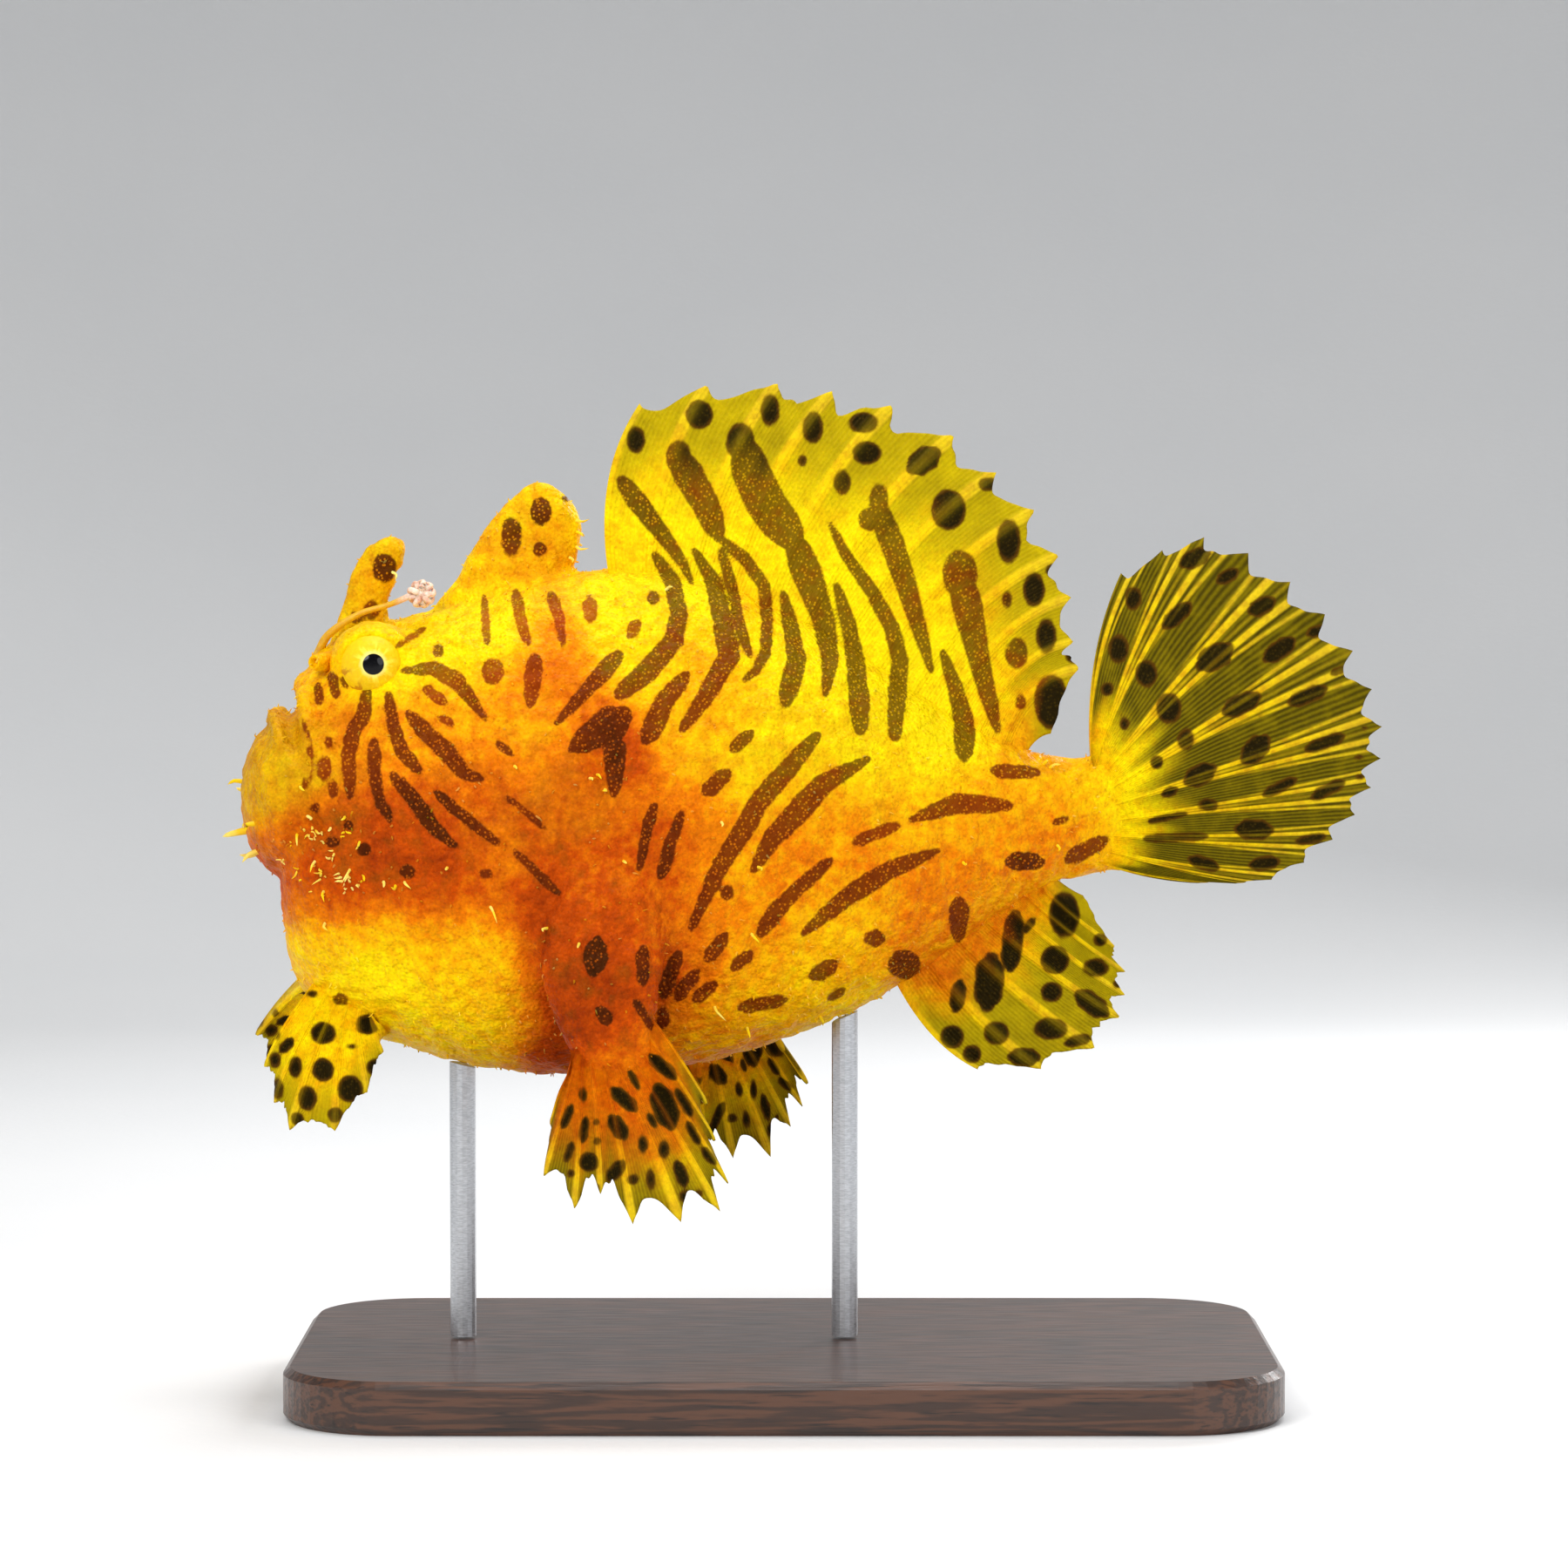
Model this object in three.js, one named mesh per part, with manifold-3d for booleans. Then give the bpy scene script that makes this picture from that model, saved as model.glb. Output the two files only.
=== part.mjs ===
// A life-size striated frogfish, hovering side-on, as a still display model on a flat base with two rods.
// The fish faces -X with its left side towards -Y, and +Z is up. Lengths are in millimetres.
// The origin is the centre of the underside of the base.
import * as THREE from "three";
import { mergeVertices } from "three/addons/utils/BufferGeometryUtils.js";
import Module from "manifold-3d";

const wasm = await Module();
wasm.setup();

// Driving dimensions.
const GAP = 0.3; // clearance between touching pieces
const BASE = { length: 112, width: 64, height: 6, corner: 12, bevel: 0.8 };
const ROD = { radius: 1.5, frontX: -37, backX: 7, reach: 46 };
const SQUARENESS = 2.25; // 2 gives elliptical cross-sections, more gives fuller ones
const AROUND = 38; // facets round the body
const ALONG = 38; // facets along the body

// Cross-sections of the body from the mouth to the tail: its top and bottom points in side view,
// its half width, and how much wider it is low down than high up.
const RIBS = [
  { top: [-56.2, 72.5], bottom: [-57.0, 68.5], half: 1.5, pear: 0.0 }, // front of the mouth
  { top: [-55.2, 82.0], bottom: [-57.4, 56.6], half: 10.2, pear: 0.08 }, // lips
  { top: [-51.8, 86.2], bottom: [-54.6, 45.6], half: 13.2, pear: 0.12 }, // snout and throat
  { top: [-41.0, 90.0], bottom: [-44.0, 39.9], half: 16.6, pear: 0.14 }, // brow and breast
  { top: [-26.5, 94.2], bottom: [-28.0, 36.6], half: 18.8, pear: 0.14 }, // nape
  { top: [-11.0, 94.3], bottom: [-9.0, 38.0], half: 17.6, pear: 0.16 }, // shoulders
  { top: [5.0, 88.0], bottom: [9.5, 44.6], half: 13.4, pear: 0.16 }, // flanks
  { top: [21.0, 77.6], bottom: [23.5, 53.8], half: 8.2, pear: 0.1 }, // loins
  { top: [31.0, 73.4], bottom: [31.5, 58.6], half: 5.0, pear: 0.0 }, // tail stalk
  { top: [39.0, 74.4], bottom: [39.5, 60.0], half: 2.0, pear: 0.0 }, // root of the tail fin
];

const NECK = { x: -27.5, z: 66, lean: 12 }; // where the head ends; lean is in degrees from upright
const STALK = { x: 31.0, z: 66, lean: 0 }; // where the torso ends

const JAW = { centre: [-52.5, 0, 68.6], radii: [9.7, 13.5, 10.1], squareness: 2.6, backX: -51.9 };
const EYE = { x: -46.6, y: 8.1, z: 83.9, radius: 3.9, rim: 10.3, collar: 4.1, foot: 5.1 };
const NOSTRIL = { x: -52.6, y: 7.6, z: 84.2, radius: 0.95, height: 1.5, forward: 0.6 };
const ESCA = { x: -41.2, y: -4.8, z: 91.9, radius: 1.3 };

const SKIN = { yellow: 0xe8b414, orange: 0xd9800f, web: 0xa89a1e };

// Shapes.

const point = (x, y, z) => new THREE.Vector3(x, y, z);
const railOf = (points) => new THREE.CatmullRomCurve3(points, false, "catmullrom", 0.5);
const blend = (a, b, t) => a + (b - a) * t;
const power = (value, exponent) => Math.sign(value) * Math.abs(value) ** exponent;

const topRail = railOf(RIBS.map((rib) => point(rib.top[0], 0, rib.top[1])));
const bottomRail = railOf(RIBS.map((rib) => point(rib.bottom[0], 0, rib.bottom[1])));
const girthRail = railOf(RIBS.map((rib) => point(rib.half, rib.pear, 0)));

// A closed solid from rings of points: ring(i) is an array of Vector3, and each end closes on its middle.
function ringSolid(ringCount, ring) {
  const rings = Array.from({ length: ringCount }, (_, i) => ring(i / (ringCount - 1), i));
  const sides = rings[0].length;
  const positions = rings.flat().flatMap((p) => p.toArray());
  const faces = [];
  for (let i = 0; i < ringCount - 1; i++)
    for (let j = 0; j < sides; j++) {
      const [a, b] = [i * sides + j, i * sides + ((j + 1) % sides)];
      faces.push(a, b, b + sides, a, b + sides, a + sides);
    }
  for (const [i, outward] of [[0, false], [ringCount - 1, true]]) {
    const middle = rings[i].reduce((sum, p) => sum.add(p), point(0, 0, 0)).divideScalar(sides);
    const centre = positions.length / 3;
    positions.push(...middle.toArray());
    for (let j = 0; j < sides; j++) {
      const [a, b] = [i * sides + j, i * sides + ((j + 1) % sides)];
      faces.push(...(outward ? [a, b, centre] : [b, a, centre]));
    }
  }
  return solidOf(geometryOf(positions, faces));
}

function geometryOf(positions, faces) {
  const geometry = new THREE.BufferGeometry();
  geometry.setAttribute("position", new THREE.Float32BufferAttribute(positions, 3));
  geometry.setIndex(faces);
  return geometry;
}

// Turns a closed three.js geometry into a solid, facing outwards whichever way its faces ran.
function solidOf(geometry) {
  const bare = geometry.clone();
  bare.deleteAttribute("normal");
  bare.deleteAttribute("uv");
  const merged = mergeVertices(bare, 1e-4);
  const build = (triVerts) =>
    new wasm.Manifold(
      new wasm.Mesh({ numProp: 3, vertProperties: merged.attributes.position.array, triVerts }),
    );
  const faces = new Uint32Array(merged.index.array);
  const made = build(faces);
  if (made.volume() > 0) return made;
  for (let i = 0; i < faces.length; i += 3)
    [faces[i + 1], faces[i + 2]] = [faces[i + 2], faces[i + 1]];
  return build(faces);
}

// The largest closed piece of a solid, without scraps that a cut leaves.
function largest(solid) {
  return solid.decompose().reduce((best, piece) => (piece.volume() > best.volume() ? piece : best));
}

// The body's surface: s runs from mouth to tail, and angle round from the left side over the back.
function bodyPoint(s, angle, grow = 0) {
  const [top, bottom, girth] = [topRail.getPoint(s), bottomRail.getPoint(s), girthRail.getPoint(s)];
  const middle = top.clone().add(bottom).multiplyScalar(0.5);
  const up = top.clone().sub(middle);
  up.setLength(up.length() + grow);
  const rise = power(Math.sin(angle), 2 / SQUARENESS);
  const side = power(Math.cos(angle), 2 / SQUARENESS);
  const half = (girth.x + grow) * (1 - girth.y * rise);
  return middle.add(up.multiplyScalar(rise)).add(point(0, -side * half, 0));
}

// The rings crowd towards the mouth, where the profile turns fastest.
function bodySolid(grow = 0) {
  return ringSolid(ALONG + 1, (t) => {
    const s = t ** 1.25;
    const ring = Array.from({ length: AROUND }, (_, j) =>
      bodyPoint(s, ((j + 0.5) / AROUND) * 2 * Math.PI, grow),
    );
    const shift = t === 0 ? -grow : t === 1 ? grow : 0;
    return ring.map((p) => p.add(point(shift, 0, 0)));
  });
}

// A round-ended limb: its centre line, and half its breadth and thickness at each point.
// Breadth lies in the body's upright plane, across the line, and thickness lies across both.
function limbSolid(stations, sides = 14, steps = 12, grow = 0) {
  const line = railOf(stations.map((station) => point(...station.at)));
  const sizes = railOf(stations.map((station) => point(station.broad, station.thick, 0)));
  const roundedFrom = 0.86;
  return ringSolid(steps + 1, (t) => {
    const centre = line.getPoint(t);
    const ahead = line.getPoint(Math.min(t + 0.02, 1));
    const behind = line.getPoint(Math.max(t - 0.02, 0));
    const along = ahead.sub(behind).normalize();
    const across = point(0, 1, 0).cross(along).normalize();
    const outward = along.clone().cross(across).normalize();
    const past = Math.max(0, (t - roundedFrom) / (1 - roundedFrom));
    const taper = Math.sqrt(Math.max(1 - past * past, 0.02));
    const size = sizes.getPoint(t);
    return Array.from({ length: sides }, (_, j) => {
      const angle = (j / sides) * 2 * Math.PI;
      return centre
        .clone()
        .addScaledVector(across, Math.cos(angle) * (size.x * taper + grow))
        .addScaledVector(outward, Math.sin(angle) * (size.y * taper + grow));
    });
  });
}

// A round tube that tapers from one radius to another along a smooth line through a few points.
function tubeSolid(points, radii, sides = 8, steps = 10) {
  const line = railOf(points.map((p) => point(...p)));
  return ringSolid(steps + 1, (t) => {
    const along = line.getTangent(t);
    const aside = Math.abs(along.z) > 0.9 ? point(1, 0, 0) : point(0, 0, 1);
    const across = aside.cross(along).normalize();
    const outward = along.clone().cross(across);
    const spot = t * (radii.length - 1);
    const from = Math.min(Math.floor(spot), radii.length - 2);
    const radius = blend(radii[from], radii[from + 1], spot - from);
    return Array.from({ length: sides }, (_, j) => {
      const angle = (j / sides) * 2 * Math.PI;
      return line
        .getPoint(t)
        .addScaledVector(across, Math.cos(angle) * radius)
        .addScaledVector(outward, Math.sin(angle) * radius);
    });
  });
}

// The lines of a fin from its root to its edge: u is the place along the fin, reach is how far out the
// line goes, and crest(v) is how high the ray's ridge stands there, from 0 on the web to 1.
// Each ray has a line on its crest and one at each foot, and the web sags between two rays.
// A forked ray's crest parts into two, one on each side of its middle.
function finLines({ rays, lastRay, sag, forked }) {
  const spread = lastRay / (rays - 1);
  const flat = () => 0;
  const whole = () => 1;
  const parting = (v) => Math.max(1 - 1.6 * v, 0.25);
  const branch = (v) => Math.min(1, 2.2 * v);
  const foot = forked ? 0.3 : 0.2;
  const lines = [];
  for (let i = 0; i < rays; i++) {
    const at = i * spread;
    const middle = { u: at, reach: forked && i > 0 && i < rays - 1 ? 1 - 0.45 * sag : 1 };
    lines.push({ u: at - foot * spread, reach: 1 - 0.6 * sag, crest: flat });
    if (forked) lines.push({ u: at - 0.15 * spread, reach: 1, crest: branch });
    lines.push({ ...middle, crest: forked ? parting : whole });
    if (forked) lines.push({ u: at + 0.15 * spread, reach: 1, crest: branch });
    lines.push({ u: at + foot * spread, reach: 1 - 0.6 * sag, crest: flat });
    if (i < rays - 1) lines.push({ u: at + 0.5 * spread, reach: 1 - sag, crest: flat });
  }
  if (lastRay < 1) lines.push({ u: 1, reach: 1 - sag, crest: flat });
  return lines.filter(({ u }) => u >= 0 && u <= 1);
}

// A fin that fans out from its root to its rays' tips, each line bending once on the way. Its two faces
// stand off the middle sheet by half the web, the rays' ridges and the flesh round the root.
function finSolid(fin) {
  const lines = finLines(fin);
  const lastLine = lines.length - 1;
  const sheet = lines.map(({ u, reach }) => {
    const curve = new THREE.QuadraticBezierCurve3(fin.root(u), fin.bend(u), fin.tip(u));
    return Array.from({ length: fin.rows + 1 }, (_, j) => curve.getPoint((j / fin.rows) * reach));
  });
  const facePoint = (i, j, side) => {
    const across = sheet[Math.min(i + 1, lastLine)][j].clone().sub(sheet[Math.max(i - 1, 0)][j]);
    const along = sheet[i][Math.min(j + 1, fin.rows)].clone().sub(sheet[i][Math.max(j - 1, 0)]);
    const v = j / fin.rows;
    const crest = fin.ridge * lines[i].crest(v) * (1 - 0.55 * v) * Math.min(1, 4 * v + 0.2);
    const half = fin.web / 2 + crest + fin.flesh * (1 - v) ** fin.fleshFade;
    return sheet[i][j].clone().addScaledVector(across.cross(along).normalize(), side * half);
  };

  const positions = [];
  for (const side of [1, -1])
    for (let i = 0; i <= lastLine; i++)
      for (let j = 0; j <= fin.rows; j++) positions.push(...facePoint(i, j, side).toArray());
  const index = (i, j) => i * (fin.rows + 1) + j;
  const back = positions.length / 6;
  const faces = [];
  for (let i = 0; i < lastLine; i++)
    for (let j = 0; j < fin.rows; j++) {
      const [a, b, c, d] = [index(i, j), index(i + 1, j), index(i + 1, j + 1), index(i, j + 1)];
      faces.push(a, b, c, a, c, d);
      faces.push(back + a, back + c, back + b, back + a, back + d, back + c);
    }
  const rim = [];
  for (let i = 0; i <= lastLine; i++) rim.push(index(i, 0));
  for (let j = 1; j <= fin.rows; j++) rim.push(index(lastLine, j));
  for (let i = lastLine - 1; i >= 0; i--) rim.push(index(i, fin.rows));
  for (let j = fin.rows - 1; j > 0; j--) rim.push(index(0, j));
  rim.forEach((a, k) => {
    const b = rim[(k + 1) % rim.length];
    faces.push(b, a, back + a, b, back + a, back + b);
  });
  return solidOf(geometryOf(positions, faces));
}

// A smooth line for roots and tips: u from 0 to 1 gives a point on a curve through the points.
function lineThrough(points) {
  const rail = railOf(points.map((p) => point(...p)));
  return (u) => rail.getPoint(u);
}

function straightBend(root, tip, share, shift) {
  return (u) => root(u).lerp(tip(u), share).add(point(...shift));
}

function squareBall(centre, radii, squareness, grow = 0) {
  const ball = new THREE.SphereGeometry(1, 22, 14);
  const spots = ball.attributes.position;
  for (let i = 0; i < spots.count; i++) {
    const p = point(spots.getX(i), spots.getY(i), spots.getZ(i));
    const powers = p.toArray().map((value) => Math.abs(value) ** squareness);
    p.divideScalar((powers[0] + powers[1] + powers[2]) ** (1 / squareness));
    spots.setXYZ(
      i,
      centre[0] + p.x * (radii[0] + grow),
      centre[1] + p.y * (radii[1] + grow),
      centre[2] + p.z * (radii[2] + grow),
    );
  }
  return solidOf(ball);
}

// Everything on the tail side (or, with ahead, the mouth side) of a leaning upright plane.
function beyond({ x, z, lean }, clear, ahead = false) {
  const size = 300;
  const box = new THREE.BoxGeometry(size, size, size);
  box.translate((ahead ? -1 : 1) * (size / 2 + clear), 0, 0);
  box.rotateY(THREE.MathUtils.degToRad(lean));
  box.translate(x, 0, z);
  return solidOf(box);
}

const union = (...solids) => solids.reduce((sum, solid) => sum.add(solid));

// Body: head, torso and tail stalk, parted by two thin cuts.

const body = bodySolid();
const bodyGrown = bodySolid(GAP);

// The lips are rolls that run from one corner of the mouth over to the other, half of each given here.
const UPPER_LIP = {
  half: [[-51.4, -13.0, 63.5], [-52.8, -12.3, 71.5], [-54.0, -8.4, 79.2], [-54.5, 0, 81.6]],
  radii: [0.5, 1.1, 1.5, 1.7, 1.5, 1.1, 0.5],
};
const LOWER_LIP = {
  half: [[-53.2, -12.9, 66.0], [-55.6, -11.8, 72.6], [-57.6, -7.6, 76.9], [-58.3, 0, 78.0]],
  radii: [0.4, 0.8, 1.0, 1.1, 1.0, 0.8, 0.4],
};

function lipRoll({ half, radii }, grow = 0) {
  const otherHalf = half.slice(0, -1).reverse().map(([x, y, z]) => [x, -y, z]);
  return tubeSolid([...half, ...otherHalf], radii.map((radius) => radius + grow), 7, 16);
}

const jawBack = { x: JAW.backX, z: 0, lean: 0 };
const jawBall = squareBall(JAW.centre, JAW.radii, JAW.squareness);
const jawPocket = squareBall(JAW.centre, JAW.radii, JAW.squareness, GAP)
  .add(lipRoll(LOWER_LIP, GAP))
  .subtract(beyond(jawBack, GAP));

// Skin tags on the chin: short tapered spikes that point forwards.
function chinTags() {
  const places = [
    { y: -1.5, z: 70.4, length: 1.9, radius: 0.32 },
    { y: -2.5, z: 64.9, length: 3.0, radius: 0.5 },
    { y: 1.5, z: 62.0, length: 2.2, radius: 0.42 },
    { y: -6.5, z: 62.6, length: 2.0, radius: 0.4 },
    { y: 6.0, z: 65.5, length: 2.2, radius: 0.4 },
    { y: -9.5, z: 66.0, length: 1.6, radius: 0.35 },
    { y: 9.5, z: 62.5, length: 1.7, radius: 0.35 },
    { y: 4.0, z: 69.0, length: 1.6, radius: 0.32 },
  ];
  return places.map(({ y, z, length, radius }) => {
    const from = point(-52.5, y, z);
    const away = point(-1, (y / 13) * 0.7, (z - JAW.centre[2]) * 0.06).normalize();
    const sideways = Math.abs(y / JAW.radii[1]) ** JAW.squareness;
    const upwards = Math.abs((z - JAW.centre[2]) / JAW.radii[2]) ** JAW.squareness;
    from.x = JAW.centre[0] - JAW.radii[0] * (1 - sideways - upwards) ** (1 / JAW.squareness);
    const [root, middle, tip] = [-1.2, 0.5 * length, length].map((d) =>
      from.clone().addScaledVector(away, d).toArray(),
    );
    return tubeSolid([root, middle, tip], [radius, radius * 0.85, radius * 0.4], 5, 3);
  });
}

// Eye sockets: a low collar of skin round each eye, wide at the foot.
function eyeCollar(side) {
  const profile = [
    [0, -4],
    [EYE.foot, -3.2],
    [EYE.foot * 0.95, 0.2],
    [EYE.collar, EYE.rim - EYE.y - 0.25],
    [EYE.collar - 0.5, EYE.rim - EYE.y],
    [0, EYE.rim - EYE.y],
  ].map(([r, h]) => new THREE.Vector2(r, h));
  const collar = new THREE.LatheGeometry(profile, 16);
  if (side > 0) collar.rotateX(Math.PI);
  collar.translate(EYE.x, -side * EYE.y, EYE.z);
  return solidOf(collar);
}

function eyeBall(side, grow = 0) {
  const ball = new THREE.SphereGeometry(EYE.radius + grow, 18, 11);
  ball.rotateX(Math.PI / 2);
  ball.translate(EYE.x, -side * EYE.y, EYE.z);
  return solidOf(ball);
}

// Nostrils: a short tube with a pit in its end, in front of each eye.
function nostril(side) {
  const r = NOSTRIL.radius;
  const h = NOSTRIL.height;
  const profile = [
    [0, -2.4],
    [r * 1.3, -2.4],
    [r, h * 0.6],
    [r * 0.8, h * 0.75],
    [r * 0.5, h * 0.75],
    [r * 0.4, h * 0.3],
    [0, h * 0.25],
  ].map(([a, b]) => new THREE.Vector2(a, b));
  const tube = new THREE.LatheGeometry(profile, 9);
  tube.rotateZ(NOSTRIL.forward);
  if (side > 0) tube.rotateX(Math.PI);
  tube.translate(NOSTRIL.x, -side * NOSTRIL.y, NOSTRIL.z);
  return solidOf(tube);
}

const head = largest(
  union(body, lipRoll(UPPER_LIP), eyeCollar(1), eyeCollar(-1), nostril(1), nostril(-1))
    .subtract(jawPocket)
    .subtract(eyeBall(1, GAP))
    .subtract(eyeBall(-1, GAP))
    .subtract(beyond(NECK, -GAP / 2)),
);
const torso = largest(body.subtract(beyond(NECK, -GAP / 2, true)).subtract(beyond(STALK, -GAP / 2)));
const tailStalk = largest(body.subtract(beyond(STALK, -GAP / 2, true)));

const lowerJaw = largest(union(jawBall, lipRoll(LOWER_LIP), ...chinTags()).subtract(beyond(jawBack, 0)));

// Spines on the head. The first is the fishing rod with its lure, the next two are skin-covered lobes.

const secondSpine = limbSolid([
  { at: [-48.8, 0, 84.5], broad: 4.0, thick: 2.6 },
  { at: [-48.0, 0, 90.0], broad: 2.9, thick: 1.9 },
  { at: [-46.9, 0, 93.9], broad: 2.8, thick: 1.7 },
  { at: [-45.3, 0, 95.9], broad: 2.6, thick: 1.6 },
  { at: [-43.6, 0, 95.5], broad: 2.3, thick: 1.4 },
]).subtract(bodyGrown);

const thirdSpine = limbSolid(
  [
    { at: [-30.6, 0, 89.5], broad: 9.4, thick: 5.0 },
    { at: [-29.9, 0, 95.0], broad: 6.5, thick: 3.6 },
    { at: [-28.3, 0, 98.6], broad: 5.4, thick: 3.0 },
    { at: [-26.4, 0, 101.2], broad: 4.4, thick: 2.5 },
    { at: [-24.6, 0, 102.9], broad: 3.2, thick: 1.9 },
  ],
  18,
).subtract(bodyGrown);

const rod = tubeSolid(
  [
    [-53.4, -0.8, 84.8],
    [-52.0, -2.4, 87.2],
    [-48.6, -3.2, 89.5],
    [-44.8, -4.0, 90.7],
    [ESCA.x - 0.6, ESCA.y - 0.1, ESCA.z + 0.1],
  ],
  [0.6, 0.5, 0.4, 0.36, 0.42],
  6,
  12,
);

// The lure: a small knot of worm-like lobes on the end of the rod.
function lureLobes() {
  const lobes = [];
  for (let i = 0; i < 5; i++) {
    const turn = (i / 5) * 2 * Math.PI;
    const [c, s] = [Math.cos(turn), Math.sin(turn)];
    const r = ESCA.radius;
    lobes.push(
      tubeSolid(
        [
          [ESCA.x, ESCA.y, ESCA.z],
          [ESCA.x + 0.5 * r * c, ESCA.y - 0.6 * r, ESCA.z + 0.6 * r * s],
          [ESCA.x + 1.05 * r * c, ESCA.y - 0.3 * r, ESCA.z + 1.05 * r * s],
          [ESCA.x + 0.95 * r * c - 0.5 * r * s, ESCA.y + 0.45 * r, ESCA.z + 0.95 * r * s + 0.5 * r * c],
        ],
        [0.5, 0.5, 0.45, 0.3],
        6,
        5,
      ),
    );
  }
  return lobes;
}
const lureKnot = new THREE.SphereGeometry(ESCA.radius * 0.85, 10, 6).translate(ESCA.x, ESCA.y, ESCA.z);
const lure = largest(union(rod, solidOf(lureKnot), ...lureLobes()).subtract(bodyGrown));

// Dorsal fin: twelve rays along the back, sweeping back to their tips, with a fleshy foot.
function onBack(s, depth) {
  return topRail.getPoint(s).add(point(0, 0, -depth));
}
const dorsalRoot = (u) => onBack(blend(0.497, 0.832, u), 4.5);
const dorsalTip = lineThrough([
  [-16.5, 0, 113.6],
  [-8.8, 0, 115.7],
  [-0.7, 0, 116.0],
  [5.5, 0, 115.0],
  [12.4, 0, 113.4],
  [19.5, 0, 110.0],
  [24.3, 0, 105.7],
  [28.8, 0, 101.4],
  [31.5, 0, 96.2],
  [32.9, 0, 91.4],
  [33.2, 0, 86.3],
  [33.8, 0, 83.2],
  [31.2, 0, 75.8],
]);
const DORSAL_SWEEP = { first: 68, last: -4 }; // degrees above level that the rays' ends point
const DORSAL_BOW = 2.6; // how far the front edge bows forwards
const dorsalBend = (u) => {
  const [from, to] = [dorsalRoot(u), dorsalTip(u)];
  const angle = THREE.MathUtils.degToRad(blend(DORSAL_SWEEP.first, DORSAL_SWEEP.last, u));
  const reach = 0.42 * from.distanceTo(to);
  const bow = DORSAL_BOW * (1 - u) ** 5;
  return to.add(point(-Math.cos(angle) * reach - bow, 0, -Math.sin(angle) * reach));
};
const dorsalFin = largest(
  finSolid({
    rays: 12, lastRay: 11 / 12, rows: 7, sag: 0.085, forked: false,
    root: dorsalRoot, bend: dorsalBend, tip: dorsalTip,
    web: 0.6, ridge: 0.55, flesh: 3.4, fleshFade: 2.6,
  }).subtract(bodyGrown),
);

// Tail fin: nine forked rays that spread like a fan from the end of the tail stalk.
const caudalRoot = lineThrough([[35.2, 0, 73.0], [36.2, 0, 67.2], [35.8, 0, 61.2]]);
const caudalTip = lineThrough([
  [38.6, 0, 94.2],
  [48.1, 0, 98.3],
  [58.0, 0, 93.2],
  [65.2, 0, 85.3],
  [68.6, 0, 76.6],
  [67.4, 0, 69.6],
  [63.0, 0, 63.6],
  [56.0, 0, 59.0],
  [47.6, 0, 58.6],
]);
const caudalBend = (u) => {
  const [from, to] = [caudalRoot(u), caudalTip(u)];
  const bow = blend(-2.6, -0.6, Math.min(1, u * 2));
  return from.lerp(to, 0.5).add(point(bow, 0, blend(1.2, -1.0, u)));
};
const tailFin = largest(
  finSolid({
    rays: 9, lastRay: 1, rows: 5, sag: 0.07, forked: true,
    root: caudalRoot, bend: caudalBend, tip: caudalTip,
    web: 0.6, ridge: 0.5, flesh: 1.7, fleshFade: 3.0,
  }).subtract(bodyGrown),
);

// Anal fin: seven rays under the loins.
const analRoot = (u) => bottomRail.getPoint(blend(0.69, 0.868, u)).add(point(-1.2, 0, 3.4));
const analTip = lineThrough([
  [22.3, 0, 37.1],
  [29.6, 0, 37.1],
  [35.8, 0, 39.5],
  [38.7, 0, 43.1],
  [39.3, 0, 45.7],
  [39.3, 0, 48.4],
  [38.0, 0, 51.4],
  [35.0, 0, 57.0],
]);
const ANAL_BOW = 1.7; // how far the front edge bows forwards and down
const analBend = (u) => {
  const bow = ANAL_BOW * (1 - u) ** 4;
  return analRoot(u).lerp(analTip(u), 0.5).add(point(0.6 - bow, 0, -1.6 - bow));
};
const analFin = largest(
  finSolid({
    rays: 7, lastRay: 6 / 7, rows: 6, sag: 0.1, forked: false,
    root: analRoot, bend: analBend, tip: analTip,
    web: 0.6, ridge: 0.5, flesh: 3.0, fleshFade: 2.4,
  }).subtract(bodyGrown),
);

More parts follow.
